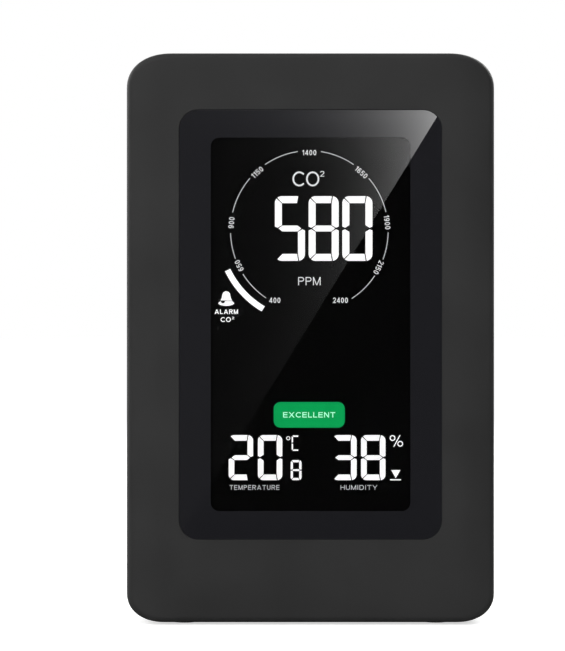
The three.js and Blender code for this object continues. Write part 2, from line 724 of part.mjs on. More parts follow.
// ---- climate sensor, on its own small board beside the side slots
const climate = assembly(CLIMATE_BOARD.x, CLIMATE_BOARD.y, CLIMATE_BOARD.z);
place(climate, "climate_sensor_board", box([-0.4, 0.4], [-5, 4.8], [-8, 8]), LOOKS.board);
place(climate, "climate_sensor", box([-1.3, -0.45], [-1.25, 1.25], [-1.25, 1.25]), LOOKS.chip);

// ---- battery
const battery = assembly(0, BATTERY.y, BATTERY.z);
function cell() {
  const { radius, length } = BATTERY;
  const half = length / 2;
  const profile = [
    [0, -half],
    [radius - 0.8, -half],
    [radius, -half + 0.8],
    [radius, half - 1.6],
    [radius - 0.8, half - 0.8],
    [3, half - 0.8],
    [2.8, half],
    [0, half],
  ].map(([r, along]) => new THREE.Vector2(r, along));
  return new THREE.LatheGeometry(profile, 24).rotateZ(Math.PI / 2);
}
place(battery, "battery_cell", cell(), LOOKS.batterySleeve);
// The cradle is a block on the rear wall, hollowed for the cell.
const hollowRadius = BATTERY.radius + 0.3;
const hollow = new THREE.CylinderGeometry(hollowRadius, hollowRadius, BATTERY.length + 0.8, 24);
const cradleBack = BACK - WALL - FIT - BATTERY.y;
place(
  battery,
  "battery_cradle",
  cut(
    solid(box([-33.9, 33.9], [1, cradleBack], [-9, 9])),
    solid(hollow.rotateZ(Math.PI / 2)),
    solid(box([-24, 24], [0, 7.5], [-12, 12])),
  ),
  LOOKS.blackPlastic,
);

// A lead of round wire through a few points.
function lead(points, radius = 0.7) {
  const path = new THREE.CatmullRomCurve3(points.map((p) => new THREE.Vector3(...p)));
  const section = new THREE.Shape().absarc(0, 0, radius, 0, 2 * Math.PI);
  return new THREE.ExtrudeGeometry(section, {
    steps: 24,
    curveSegments: 4,
    bevelEnabled: false,
    extrudePath: path,
  });
}
const plugEnd = boardBack + FIT + 6.4 + FIT;
place(
  monitor,
  "battery_lead_red",
  lead([
    [plugX - 1.3, plugEnd, plugZ],
    [plugX - 1.3, plugEnd + 3, plugZ],
    [-34.4, 2.5, 42],
    [-34.1, 5.8, 37.5],
    [-33.9, 6.8, 33],
  ]),
  LOOKS.red,
);
place(
  monitor,
  "battery_lead_black",
  lead([
    [plugX + 1.3, plugEnd, plugZ],
    [plugX + 1.3, plugEnd + 2.6, plugZ],
    [-24, -0.5, 43],
    [0, -0.2, 42.3],
    [26, -0.5, 42],
    [33, 2, 39.5],
    [33.9, 6.6, 33],
  ]),
  LOOKS.black,
);

// ---- buttons on the back
const keys = assembly(0, 0, KEY_HEIGHT);
const keyBoardShape = roundedRect(KEY_BOARD.width, KEY_BOARD.height, 1);
for (const x of [-KEY_POST, KEY_POST]) {
  keyBoardShape.holes.push(new THREE.Path().absarc(x, 0, POST.hole, 0, 2 * Math.PI));
}
const keyBoardBack = KEY_BOARD.front + KEY_BOARD.thick;
place(keys, "key_board", upright(keyBoardShape, [KEY_BOARD.front, keyBoardBack], 3), LOOKS.board);

const switchBack = keyBoardBack + FIT + 3.4;
const plungerBack = 16.9;
const switchBody = geometryOf(
  cut(
    solid(box([-3, 3], [keyBoardBack + FIT, switchBack], [-3, 3])),
    solid(barY(1.95, [plungerBack - 2.3 - KEY_TRAVEL - 0.2, switchBack + PAST], 0, 0, 16)),
  ),
);
const plunger = barY(1.7, [plungerBack - 2.3, plungerBack], 0, 0, 16);
// A cap with a rounded rim, the flange that keeps it in, and the stem that meets the plunger.
function keyCap() {
  const rim = 0.5;
  const top = BACK - 0.2;
  const crown = new THREE.ExtrudeGeometry(slotShape(KEY_LENGTH - 2 * rim, KEY_WIDTH - 2 * rim), {
    depth: top - rim - KEY_PAD_FRONT,
    bevelSize: rim,
    bevelThickness: rim,
    bevelSegments: 2,
    curveSegments: 3,
  });
  crown.rotateX(Math.PI / 2).translate(0, top - rim, 0);
  const flangeBack = KEY_PAD_FRONT - 0.1;
  const flange = upright(slotShape(KEY_LENGTH + 1.8, KEY_WIDTH + 1.8), [flangeBack - 0.8, flangeBack], 3);
  return joined(solid(crown), solid(flange), solid(barY(1.8, [plungerBack + FIT, flangeBack], 0, 0, 12)));
}
const capShape = geometryOf(keyCap());
KEYS.forEach((name, i) => {
  const at = [keyPlaces[i], 0, 0];
  place(keys, `button_${name}`, capShape, LOOKS.rubber, at);
  place(keys, `key_plunger_${i + 1}`, plunger, LOOKS.black, at);
  place(keys, `key_switch_${i + 1}`, switchBody, LOOKS.chip, at);
});

// A flat ribbon, drawn from the side and as wide as its six conductors.
function ribbon() {
  const thick = 0.25;
  const ends = [
    [-10.5, 101.4],
    [-4, 100.4],
    [1.5, 99.4],
    [6, 101.6],
    [10.6, 103.6],
  ];
  const line = new THREE.SplineCurve(ends.map(([y, z]) => new THREE.Vector2(y, z))).getPoints(16);
  const edge = [...line, ...line.map((p) => new THREE.Vector2(p.x, p.y + thick)).reverse()];
  const strip = new THREE.ExtrudeGeometry(new THREE.Shape(edge), { depth: 8, bevelEnabled: false });
  // The profile's own axes become Y and Z, and the width runs along X.
  const turn = new THREE.Matrix4().set(0, 0, 1, 0, 1, 0, 0, 0, 0, 1, 0, 0, 0, 0, 0, 1);
  return strip.applyMatrix4(turn).translate(-4, 0, 0);
}
place(monitor, "key_ribbon", ribbon(), LOOKS.ribbon);

// ---- socket and slide switch
const power = assembly(0, 0, POWER_BOARD.low);
const powerBoard = cut(
  solid(
    box(
      [-POWER_BOARD.width / 2, POWER_BOARD.width / 2],
      [POWER_BOARD.front, POWER_BOARD.back],
      [0, POWER_BOARD.thick],
    ),
  ),
  ...[-POWER_POST, POWER_POST].map((x) =>
    solid(barZ(POST.hole, [-PAST, POWER_BOARD.thick + PAST], x, 9, 12)),
  ),
);
place(power, "power_board", powerBoard, LOOKS.board);
const onPower = POWER_BOARD.thick + FIT;

// The socket's steel shell: wide at the top, with its two lower corners cut off.
function socketShape(wall) {
  const [w, h, bevel] = [SOCKET.width / 2 - wall, SOCKET.height - wall, 0.9];
  return new THREE.Shape([
    new THREE.Vector2(-w + bevel, wall),
    new THREE.Vector2(w - bevel, wall),
    new THREE.Vector2(w, wall + bevel),
    new THREE.Vector2(w, h),
    new THREE.Vector2(-w, h),
    new THREE.Vector2(-w, wall + bevel),
  ]);
}
const mouth = upright(socketShape(SOCKET.wall), [SOCKET.front + 0.4, SOCKET.back + PAST]);
place(
  power,
  "usb_socket",
  cut(solid(upright(socketShape(0), [SOCKET.front, SOCKET.back])), solid(mouth)),
  LOOKS.steel,
  [SOCKET_X, 0, onPower],
);
place(
  power,
  "usb_tongue",
  joined(
    solid(box([-2.5, 2.5], [SOCKET.front + 0.45, SOCKET.front + 1.6], [0.75, SOCKET.height - 0.5])),
    solid(box([-1.9, 1.9], [SOCKET.front + 1.4, SOCKET.back - 0.6], [1.5, 2.1])),
  ),
  LOOKS.blackPlastic,
  [SOCKET_X, 0, onPower],
);
const switchHalf = SWITCH.width / 2;
place(
  power,
  "power_switch_body",
  cut(
    solid(box([-switchHalf, switchHalf], [SWITCH.front, SWITCH.back], [0, SWITCH.height])),
    solid(box([-2.9, 2.9], [SWITCH.back - 2, SWITCH.back + PAST], [1.1, 2.7])),
  ),
  LOOKS.steel,
  [SWITCH_X, 0, onPower],
);
// The slider rests at its left end, seen from the front: a stem in the switch and a ribbed grip in
// the wall's slot.
function slider() {
  const middle = SWITCH.height / 2;
  const gripFront = BACK - WALL - 1.2;
  const stem = solid(box([-1.2, 1.2], [SWITCH.back - 1.6, gripFront + 0.1], [middle - 0.6, middle + 0.6]));
  const grip = solid(box([-1.9, 1.9], [gripFront, BACK - 0.7], [middle - 1.1, middle + 1.1]));
  const ribs = row(3, 1.3).map((x) =>
    solid(box([x - 0.3, x + 0.3], [BACK - 0.8, BACK - 0.3], [middle - 1.1, middle + 1.1])),
  );
  return joined(stem, grip, ...ribs);
}
place(power, "power_switch_knob", slider(), LOOKS.black, [SWITCH_X - SWITCH_TRAVEL / 2, 0, onPower]);

// ---- dust filter behind the slots in the back
const filterHigh = ((BACK_SLOTS.count - 1) * SLOT_PITCH) / 2 + 3;
place(
  monitor,
  "vent_filter",
  box(
    [-25, 25],
    [BACK - WALL - 1.2, BACK - WALL - FIT],
    [BACK_SLOTS.middle - filterHigh, BACK_SLOTS.middle + filterHigh],
  ),
  LOOKS.foam,
);

export default monitor;
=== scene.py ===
import json
import math

import bmesh
import bpy
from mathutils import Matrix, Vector


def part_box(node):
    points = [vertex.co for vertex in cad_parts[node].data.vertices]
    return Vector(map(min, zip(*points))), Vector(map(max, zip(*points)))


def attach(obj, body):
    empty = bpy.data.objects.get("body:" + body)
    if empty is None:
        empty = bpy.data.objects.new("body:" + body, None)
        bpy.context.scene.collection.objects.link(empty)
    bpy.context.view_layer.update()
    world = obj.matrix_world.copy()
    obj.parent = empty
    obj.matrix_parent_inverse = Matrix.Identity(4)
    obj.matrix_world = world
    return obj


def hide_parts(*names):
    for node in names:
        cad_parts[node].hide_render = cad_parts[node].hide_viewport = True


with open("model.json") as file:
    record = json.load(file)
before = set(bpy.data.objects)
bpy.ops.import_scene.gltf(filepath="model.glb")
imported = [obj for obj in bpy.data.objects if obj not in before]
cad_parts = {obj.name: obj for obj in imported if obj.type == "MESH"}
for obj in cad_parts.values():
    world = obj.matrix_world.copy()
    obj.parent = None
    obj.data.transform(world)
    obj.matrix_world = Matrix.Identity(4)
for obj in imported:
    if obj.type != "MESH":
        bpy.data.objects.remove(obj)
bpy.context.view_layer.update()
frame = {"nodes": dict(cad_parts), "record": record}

MM = 0.001
ROOT = "housing"
KEYS = ("set", "up", "down", "alarm")


def placed(name, data):
    """A new object of the scene."""
    thing = bpy.data.objects.new(name, data)
    bpy.context.scene.collection.objects.link(thing)
    return thing


# ---- places that come from the frame, in millimetres ----


def cad_box(node):
    """A CAD node's lowest and highest corners in millimetres."""
    low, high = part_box(node)
    return Vector(low) / MM, Vector(high) / MM


def middle_of(node):
    low, high = cad_box(node)
    return (low + high) / 2


front_low, front_high = cad_box("front_shell")
rear_low, rear_high = cad_box("rear_shell")
window_low, window_high = cad_box("display_window")
FRONT = front_low.y
BACK = rear_high.y
PARTING = front_high.y
TOP = front_high.z
SOLE = front_low.z
SIDE = front_high.x
WINDOW_MIDDLE = (window_low.z + window_high.z) / 2
LENS_BACK = window_high.y

# ---- camera ----
SHELL_MIDDLE = (SOLE + TOP) / 2
CAMERA_SIDE = -7.3
CAMERA_RISE = 3.2
CAMERA_DISTANCE = 942
LENS_MM = 200


def make_camera():
    """A long lens that looks straight at the front, a little to the left of the middle and above it."""
    data = bpy.data.cameras.new("camera")
    data.lens = LENS_MM
    data.sensor_width = 36
    data.clip_start = 0.05
    data.clip_end = 50
    camera = placed("camera", data)
    camera.location = Vector((CAMERA_SIDE, FRONT - CAMERA_DISTANCE, SHELL_MIDDLE + CAMERA_RISE)) * MM
    camera.rotation_euler = (math.pi / 2, 0, 0)
    bpy.context.scene.camera = camera
    return camera


camera = make_camera()

# ---- node materials ----


class Nodes:
    """A short way to build a Principled material from nodes."""

    def __init__(self, name):
        self.material = bpy.data.materials.new(name)
        self.material.use_nodes = True
        self.tree = self.material.node_tree
        self.shader = self.tree.nodes["Principled BSDF"]
        self.place = self.tree.nodes.new("ShaderNodeTexCoord").outputs["Object"]

    def add(self, kind, **values):
        node = self.tree.nodes.new(kind)
        for key, value in values.items():
            setattr(node, key, value)
        return node

    def link(self, output, target):
        self.tree.links.new(output, target)

    def set(self, **values):
        for key, value in values.items():
            self.shader.inputs[key.replace("_", " ")].default_value = value

    def noise(self, scale, detail=3.0, roughness=0.5, stretch=None):
        node = self.add("ShaderNodeTexNoise")
        node.inputs["Scale"].default_value = scale
        node.inputs["Detail"].default_value = detail
        node.inputs["Roughness"].default_value = roughness
        source = self.place
        if stretch:
            mapping = self.add("ShaderNodeMapping")
            mapping.inputs["Scale"].default_value = stretch
            self.link(source, mapping.inputs["Vector"])
            source = mapping.outputs["Vector"]
        self.link(source, node.inputs["Vector"])
        return node.outputs["Fac"]

    def cells(self, scale, feature="F1"):
        node = self.add("ShaderNodeTexVoronoi", feature=feature)
        node.inputs["Scale"].default_value = scale
        self.link(self.place, node.inputs["Vector"])
        return node.outputs["Distance"]

    def spread(self, value, low, high, to_low, to_high):
        node = self.add("ShaderNodeMapRange")
        for key, number in zip(("From Min", "From Max", "To Min", "To Max"), (low, high, to_low, to_high)):
            node.inputs[key].default_value = number
        self.link(value, node.inputs["Value"])
        return node.outputs["Result"]

    def between(self, noise, low, high):
        """A noise's usual span drawn out to low..high."""
        return self.spread(noise, 0.3, 0.7, low, high)

    def blend(self, factor, first, second):
        node = self.add("ShaderNodeMix", data_type="RGBA")
        self.link(factor, node.inputs["Factor"])
        for socket, colour in (("A", first), ("B", second)):
            target = [s for s in node.inputs if s.name == socket and s.type == "RGBA"][0]
            if isinstance(colour, bpy.types.NodeSocket):
                self.link(colour, target)
            else:
                target.default_value = (*colour, 1)
        return [s for s in node.outputs if s.type == "RGBA"][0]

    def maths(self, first, second, operation="MULTIPLY"):
        node = self.add("ShaderNodeMath", operation=operation)
        for socket, value in zip(node.inputs, (first, second)):
            if isinstance(value, bpy.types.NodeSocket):
                self.link(value, socket)
            else:
                socket.default_value = value
        return node.outputs["Value"]

    def edges(self, low=0.52, high=0.6):
        """How convex the surface is, from 0 to 1: worn edges in one material, painted shade in hollows in
        another.
        """
        pointiness = self.add("ShaderNodeNewGeometry").outputs["Pointiness"]
        return self.spread(pointiness, low, high, 0, 1)

    def colour(self, output):
        self.link(output, self.shader.inputs["Base Color"])

    def roughness(self, output):
        self.link(output, self.shader.inputs["Roughness"])

    def bump(self, height, distance_mm):
        node = self.add("ShaderNodeBump")
        node.inputs["Strength"].default_value = 1.0
        node.inputs["Distance"].default_value = distance_mm * MM
        self.link(height, node.inputs["Height"])
        self.link(node.outputs["Normal"], self.shader.inputs["Normal"])


def grey(value):
    return (value, value, value)


def tinted(colour, factor):
    return [min(1, c * factor) for c in colour]


def moulded(name, colour, roughness, grain_per_mm=4.0, worn=1.25):
    """Moulded plastic with a fine spark texture, a slight drift of tone and brighter rubbed edges."""
    m = Nodes(name)
    fine = m.noise(grain_per_mm / MM, detail=2.0, roughness=0.65)
    drift = m.noise(0.05 / MM, detail=3.0)
    tone = m.blend(m.between(drift, 0, 1), tinted(colour, 0.88), tinted(colour, 1.12))
    rubbed = m.maths(m.edges(), m.spread(m.noise(0.6 / MM), 0.35, 0.7, 0.2, 1.0))
    m.colour(m.blend(rubbed, tone, tinted(colour, worn)))
    m.roughness(m.spread(m.maths(fine, drift, "ADD"), 0.7, 1.3, roughness - 0.05, roughness + 0.06))
    m.bump(fine, 0.012)
    return m.material


def satin(name, colour, roughness, scale_per_mm=1.2, specular=0.5):
    """A plain satin or gloss finish with faint streaks of tone and roughness."""
    m = Nodes(name)
    cloud = m.noise(scale_per_mm / MM, detail=4.0)
    m.colour(m.blend(m.between(cloud, 0, 1), tinted(colour, 0.85), tinted(colour, 1.15)))
    m.roughness(m.between(cloud, max(0, roughness - 0.04), roughness + 0.05))
    m.bump(cloud, 0.004)
    m.set(Specular_IOR_Level=specular)
    return m.material


def rubber(name, colour, depth_mm=0.02):
    """Matt rubber with a powdery bloom."""
    m = Nodes(name)
    fine = m.noise(6 / MM, detail=2.0)
    bloom = m.noise(0.35 / MM, detail=4.0)
    m.colour(m.blend(m.spread(bloom, 0.4, 0.75, 0, 1), colour, [c * 1.5 + 0.004 for c in colour]))
    m.roughness(m.between(bloom, 0.72, 0.88))
    m.bump(fine, depth_mm)
    m.set(Specular_IOR_Level=0.35)
    return m.material


def plated(name, colour, roughness, stretch):
    """Plated metal with fine drawn lines, and painted shade that darkens its hollows."""
    m = Nodes(name)
    lines = m.noise(1.5 / MM, detail=4.0, stretch=stretch)
    bright = m.blend(m.between(lines, 0, 1), tinted(colour, 0.85), colour)
    # painted shade: the colour is darkened where the surface is concave, such as in a screw's cross recess,
    # to stand in for the shade there
    m.colour(m.blend(m.edges(0.38, 0.5), tinted(colour, 0.12), bright))
    m.roughness(m.between(lines, roughness - 0.07, roughness + 0.1))
    m.bump(lines, 0.004)
    m.set(Metallic=1.0)
    return m.material


def clear(name, tint, roughness, ior):
    """Polished clear plastic or glass, with the faintest waviness."""
    m = Nodes(name)
    wave = m.noise(0.03 / MM, detail=1.0)
    m.roughness(m.between(wave, roughness, roughness + 0.004))
    m.set(Base_Color=(*tint, 1), IOR=ior, Transmission_Weight=1.0)
    return m.material


def printed(name, colour):
    """Dark print behind a polished plate: flat colour with a polished surface in front."""
    m = Nodes(name)
    specks = m.noise(2.0 / MM, detail=3.0)
    m.colour(m.blend(m.between(specks, 0, 1), tinted(colour, 0.94), tinted(colour, 1.06)))
    m.roughness(m.between(m.noise(0.03 / MM, detail=1.0), 0.0, 0.004))
    m.set(IOR=1.56)
    return m.material


def lit(name, colour, strength):
    """A backlit area of the display: even light with a slight unevenness from the backlight."""
    m = Nodes(name)
    uneven = m.noise(0.08 / MM, detail=2.0)
    m.set(Base_Color=(*tinted(colour, 0.3), 1), Roughness=0.6, Specular_IOR_Level=0.0)
    m.set(Emission_Color=(*colour, 1))
    m.link(m.between(uneven, 0.92 * strength, strength), m.shader.inputs["Emission Strength"])
    return m.material


def solder_mask(name):
    """A green circuit board: glossy mask over copper tracks that show as slightly raised, lighter lines."""
    m = Nodes(name)
    tracks = m.spread(m.cells(0.35 / MM, "DISTANCE_TO_EDGE"), 0.02, 0.05, 1, 0)
    m.colour(m.blend(tracks, (0.008, 0.075, 0.028), (0.02, 0.16, 0.06)))
    m.roughness(m.between(m.noise(1.0 / MM), 0.28, 0.42))
    m.bump(tracks, 0.03)
    return m.material


def open_foam(name, colour, pores_per_mm=1.6):
    """Open-cell foam: painted shade darkens the pores and painted light brightens the struts between them."""
    m = Nodes(name)
    pores = m.cells(pores_per_mm / MM)
    # painted shade and light: the recessed pore centres are darkened and the raised struts lightened in the
    # colour
    m.colour(m.blend(m.spread(pores, 0.1, 0.6, 0, 1), tinted(colour, 0.3), [c * 1.8 for c in colour]))
    m.set(Roughness=0.95, Specular_IOR_Level=0.2)
    m.bump(pores, 0.25)
    return m.material


def striped(name, dark, pale, per_mm):
    """An elastomer strip: thin conducting layers between insulating ones."""
    m = Nodes(name)
    wave = m.add("ShaderNodeTexWave", bands_direction="X")
    wave.inputs["Scale"].default_value = per_mm / MM
    m.link(m.place, wave.inputs["Vector"])
    m.colour(m.blend(wave.outputs["Fac"], dark, pale))
    m.set(Roughness=0.7)
    m.bump(wave.outputs["Fac"], 0.02)
    return m.material


# Each look: how it is made and with what values.
LOOKS = {
    "housing": (moulded, grey(0.0255), 0.58, 4.0, 1.1),
    "foot_rubber": (rubber, grey(0.012)),
    "screw_steel": (plated, (0.5, 0.51, 0.53), 0.3, (1, 1, 1)),
    "window": (clear, (1, 1, 1), 0.0, 1.33),
    "window_print": (printed, (0.0128, 0.0128, 0.0150)),
    "tape": (rubber, grey(0.01)),
    "lcd_face": (satin, grey(0.0062), 0.5, 1.2, 0.0),
    "lcd_glass": (clear, (0.93, 0.97, 0.95), 0.0, 1.5),
    "white_plastic": (satin, grey(0.75), 0.4),
    "light_guide": (clear, (0.95, 0.98, 1.0), 0.02, 1.49),
    "black_plastic": (moulded, grey(0.012), 0.45),
    "elastomer": (striped, grey(0.02), (0.5, 0.48, 0.46), 1.2),
    "board": (solder_mask,),
    "chip": (moulded, grey(0.01), 0.5, 8.0),
    "gold_plate": (plated, (0.83, 0.58, 0.22), 0.3, (1, 1, 1)),
    "membrane": (open_foam, (0.75, 0.75, 0.72), 3.0),
    "battery_sleeve": (satin, (0.02, 0.13, 0.38), 0.25, 0.6),
    "lead_red": (satin, (0.42, 0.012, 0.01), 0.45),
    "lead_black": (satin, grey(0.012), 0.45),
    "button_rubber": (rubber, grey(0.02), 0.012),
    "ribbon": (satin, (0.6, 0.56, 0.46), 0.4, 0.5),
    "socket_steel": (plated, (0.55, 0.55, 0.56), 0.28, (1, 8, 1)),
    "knob": (moulded, grey(0.014), 0.42, 8.0),
    "filter_foam": (open_foam, grey(0.016)),
    "lcd_marks": (lit, (1, 1, 1), 1.0),
    "lcd_scale": (lit, (0.96, 0.98, 1), 0.52),
    "lcd_small": (lit, (0.98, 0.99, 1), 0.7),
    "lcd_green": (lit, (0.004, 0.33, 0.082), 1.0),
    "lcd_rating": (lit, (0.43, 1, 0.69), 1.0),
    "key_print": (satin, grey(0.55), 0.5),
}
looks = {name: make(name, *values) for name, (make, *values) in LOOKS.items()}

# ---- pieces ----


def add_piece(name, mesh, look, body=ROOT, replaced=()):
    """Puts a mesh in the scene as a piece of the object."""
    piece = placed(name, mesh)
    mesh.materials.clear()
    mesh.materials.append(looks[look])
    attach(piece, body)
    if replaced:
        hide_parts(*replaced)
    return piece


def mesh_of(name, points, faces):
    """A closed mesh from points in millimetres, with its faces turned outwards."""
    mesh = bpy.data.meshes.new(name)
    mesh.from_pydata([tuple(c * MM for c in point) for point in points], [], faces)
    work = bmesh.new()
    work.from_mesh(mesh)
    bmesh.ops.recalc_face_normals(work, faces=work.faces)
    work.to_mesh(mesh)
    work.free()
    return mesh


def loft(name, rings, closed=False):
    """A body through rings of points. It has flat ends, or it comes back to its first ring."""
    count = len(rings[0])
    faces = []
    pairs = len(rings) if closed else len(rings) - 1
    for r in range(pairs):
        low = r * count
        high = ((r + 1) % len(rings)) * count
        for i in range(count):
            j = (i + 1) % count
            faces.append((low + i, low + j, high + j, high + i))
    if not closed:
        faces.append(tuple(range(count)))
        faces.append(tuple(range(len(rings) * count - 1, (len(rings) - 1) * count - 1, -1)))
    return mesh_of(name, [p for ring in rings for p in ring], faces)


def quarter(count):
    """A quarter round of radius one, as steps of how far in and how far along."""
    turns = [(i + 1) / count * math.pi / 2 for i in range(count)]
    return [(1 - math.cos(t), math.sin(t)) for t in turns]


def modified(mesh, kind, **settings):
    """The mesh after one modifier with these settings."""
    carrier = placed("carrier", mesh)
    modifier = carrier.modifiers.new("modifier", kind)
    for key, value in settings.items():
        setattr(modifier, key, value)
    graph = bpy.context.evaluated_depsgraph_get()
    result = bpy.data.meshes.new_from_object(carrier.evaluated_get(graph), depsgraph=graph)
    result.name = mesh.name
    bpy.data.objects.remove(carrier)
    return result


def joined(name, meshes):
    work = bmesh.new()
    for mesh in meshes:
        work.from_mesh(mesh)
    result = bpy.data.meshes.new(name)
    work.to_mesh(result)
    work.free()
    return result


def boolean(mesh, others, operation):
    """The mesh with all the others cut from it or joined to it."""
    tool = placed("tool", joined("tool", others))
    result = modified(mesh, "BOOLEAN", operation=operation, solver="EXACT", use_self=True, object=tool)
    bpy.data.objects.remove(tool)
    return result


def shaded(mesh, sharp_degrees=35):
    """Smooth shading with sharp edges kept, and flats that stay flat."""
    work = bmesh.new()
    work.from_mesh(mesh)
    bmesh.ops.remove_doubles(work, verts=work.verts, dist=1e-7)
    bmesh.ops.dissolve_degenerate(work, edges=work.edges, dist=1e-7)
    work.to_mesh(mesh)
    work.free()
    mesh.shade_smooth()
    mesh.set_sharp_from_angle(angle=math.radians(sharp_degrees))
    return modified(mesh, "WEIGHTED_NORMAL", keep_sharp=True, weight=100)


def cornered(corners, steps, power=2.0):
    """Points round four corners of an outline, from the lower right and anticlockwise.

    Each corner is a centre in x and z and a reach across and up. A power over 2 squares the corners off.
    """

    def bend(value):
        return math.copysign(abs(value) ** (2 / power), value)

    points = []
    for k, (x, z, across, up) in enumerate(corners):
        for i in range(steps + 1):
            turn = (k - 1 + i / steps) * math.pi / 2
            points.append((x + across * bend(math.cos(turn)), z + up * bend(math.sin(turn))))
    return points


def rounded_outline(width, height, radius, x=0.0, z=0.0, steps=8, grow=0.0):
    """A rounded rectangle about (x, z)."""
    w, h, r = width / 2 - radius, height / 2 - radius, radius + grow
    corners = ((x + w, z - h), (x + w, z + h), (x - w, z + h), (x - w, z - h))
    return cornered([(*corner, r, r) for corner in corners], steps)


def at_depth(outline, y):
    return [(x, y, z) for x, z in outline]


def plate(name, outline, y_front, y_back):
    return loft(name, [at_depth(outline, y_front), at_depth(outline, y_back)])


def revolved(name, profile, origin, axis="y", sides=48):
    """A body turned about an axis through the origin; the profile is (radius, along) from end to end."""
    rings = []
    for radius, along in profile:
        ring = []
        for i in range(sides):
            a, b = radius * math.cos(2 * math.pi * i / sides), radius * math.sin(2 * math.pi * i / sides)
            point = (a, along, b) if axis == "y" else (a, b, along)
            ring.append(tuple(o + p for o, p in zip(origin, point)))
        rings.append(ring)
    return loft(name, rings)


def block(name, xs, ys, zs):
    outline = [(xs[0], zs[0]), (xs[1], zs[0]), (xs[1], zs[1]), (xs[0], zs[1])]
    return plate(name, outline, *ys)


# ---- housing ----
CORNER_POWER = 2.2
CORNER_STEPS = 20
LEAST_CORNER = 0.8
ROLL_START = 38
ROLL_RADIUS = 26
EDGE_RADIUS = 1.6
PARTING_EDGE = 0.15
SEAM_DEPTH = 0.45  # how deep the line between the shells is, before the step that closes it
SEAM_STEP = 0.25
WALL = 2.2
SLAB_ROUND = 3.6
HUMP_SIDE = 8.5
HUMP_TOP = 19
HUMP_DRAFT_SIDE = 1
HUMP_DRAFT_TOP = 3.5
HUMP_ROUND = 4
HUMP_LOW_ROUND = 2.4
HUMP_FILLET = 1.5
HUMP_FOOT = 0.3
HUMP_TOP_CORNER = (9, 9)
HUMP_LOW_CORNER = (5, 5)
HOLLOW_TOP_CORNER = (7, 7)
HOLLOW_LOW_CORNER = (3, 3)
LIP_REACH = 1.7  # how far the rear casing's lip goes into the front casing
LIP_INSIDE, LIP_OUTSIDE = WALL + 1.4, WALL + 0.25
SILHOUETTE = {"side": SIDE, "low": SOLE, "high": TOP, "top": (12, 9), "bottom": (10, 7.5)}
SEAT = LENS_BACK + 0.35
LEDGE_BACK = -17.6
FRONT_WALL_BACK = -18.6
WINDOW_SIZE = (window_high.x - window_low.x, window_high.z - window_low.z, 5)
WINDOW_GAP = 0.05
RIM_ROUND = 0.16
FOOT_GAP = 0.2
LEDGE_OPENING = (62, 106, 2)
LEDGE_FRAME = (73, 116, 4)


def section_outline(section):
    """The housing's outline with superelliptic corners."""
    top, bottom = section["top"], section["bottom"]
    side, low, high = section["side"], section["low"], section["high"]
    corners = (
        (side - bottom[0], low + bottom[1], *bottom),
        (side - top[0], high - top[1], *top),
        (top[0] - side, high - top[1], *top),
        (bottom[0] - side, low + bottom[1], *bottom),
    )
    return cornered(corners, CORNER_STEPS, CORNER_POWER)


def inset(section, side, top=None, low=None):
    top = side if top is None else top
    low = side if low is None else low

    def less(corner, by):
        return tuple(max(LEAST_CORNER, radius - by) for radius in corner)

    return {
        "side": section["side"] - side,
        "low": section["low"] + low,
        "high": section["high"] - top,
        "top": less(section["top"], min(side, top)),
        "bottom": less(section["bottom"], min(side, low)),
    }


def ring(section, y):
    """A ring of the housing at one depth, or at a depth that depends on x."""
    return [(x, y(x) if callable(y) else y, z) for x, z in section_outline(section)]


def roll_off(x):
    out = max(0, abs(x) - ROLL_START)
    return ROLL_RADIUS - math.sqrt(ROLL_RADIUS**2 - out**2)


def window_outline(size, grow=0.0):
    return rounded_outline(*size, z=WINDOW_MIDDLE, steps=CORNER_STEPS, grow=grow)


def foot_hole(node):
    low, high = cad_box(node)
    middle = (low + high) / 2
    radius = (high.x - low.x) / 2 + FOOT_GAP
    mouth = [(radius + 0.35, -2), (radius + 0.25, SOLE - 0.02), (radius, SOLE + 0.22)]
    return revolved("foot_hole", mouth + [(radius, high.z + 0.05)], (middle.x, middle.y, 0), axis="z")


def front_shell():
    """The front casing: rolled sides, a rounded rim, the window's seat and the hollow behind it."""

    def face(inward, setback):
        return ring(inset(SILHOUETTE, inward), lambda x: FRONT + roll_off(x) + setback)

    rings = [ring(inset(SILHOUETTE, PARTING_EDGE), PARTING), ring(SILHOUETTE, PARTING - PARTING_EDGE)]
    rings.append(face(0, EDGE_RADIUS))
    rings += [face(EDGE_RADIUS * inward, EDGE_RADIUS * (1 - along)) for inward, along in quarter(8)]
    flat = SIDE - ROLL_START
    roll_steps = 14
    rings += [face(EDGE_RADIUS + (flat - EDGE_RADIUS) * i / roll_steps, 0) for i in range(1, roll_steps + 1)]
    for inward, along in [(0, 0)] + quarter(5):
        grow = WINDOW_GAP + RIM_ROUND * (1 - along)
        rings.append(at_depth(window_outline(WINDOW_SIZE, grow), FRONT + RIM_ROUND * inward))
    rings += [
        at_depth(window_outline(WINDOW_SIZE, WINDOW_GAP), SEAT),
        at_depth(window_outline(LEDGE_OPENING), SEAT),
        at_depth(window_outline(LEDGE_OPENING), LEDGE_BACK),
        at_depth(window_outline(LEDGE_FRAME), LEDGE_BACK),
        at_depth(window_outline(LEDGE_FRAME), FRONT_WALL_BACK),
        ring(inset(SILHOUETTE, 3 * WALL), FRONT_WALL_BACK),
        ring(inset(SILHOUETTE, WALL), FRONT_WALL_BACK + WALL),
        ring(inset(SILHOUETTE, WALL), PARTING),
    ]
    mesh = loft("front_casing", rings, closed=True)
    return shaded(boolean(mesh, [foot_hole("foot_1"), foot_hole("foot_2")], "DIFFERENCE"))


def hump_ring(side, top, low, y):
    section = inset(SILHOUETTE, side, top, low)
    return ring({**section, "top": HUMP_TOP_CORNER, "bottom": HUMP_LOW_CORNER}, y)


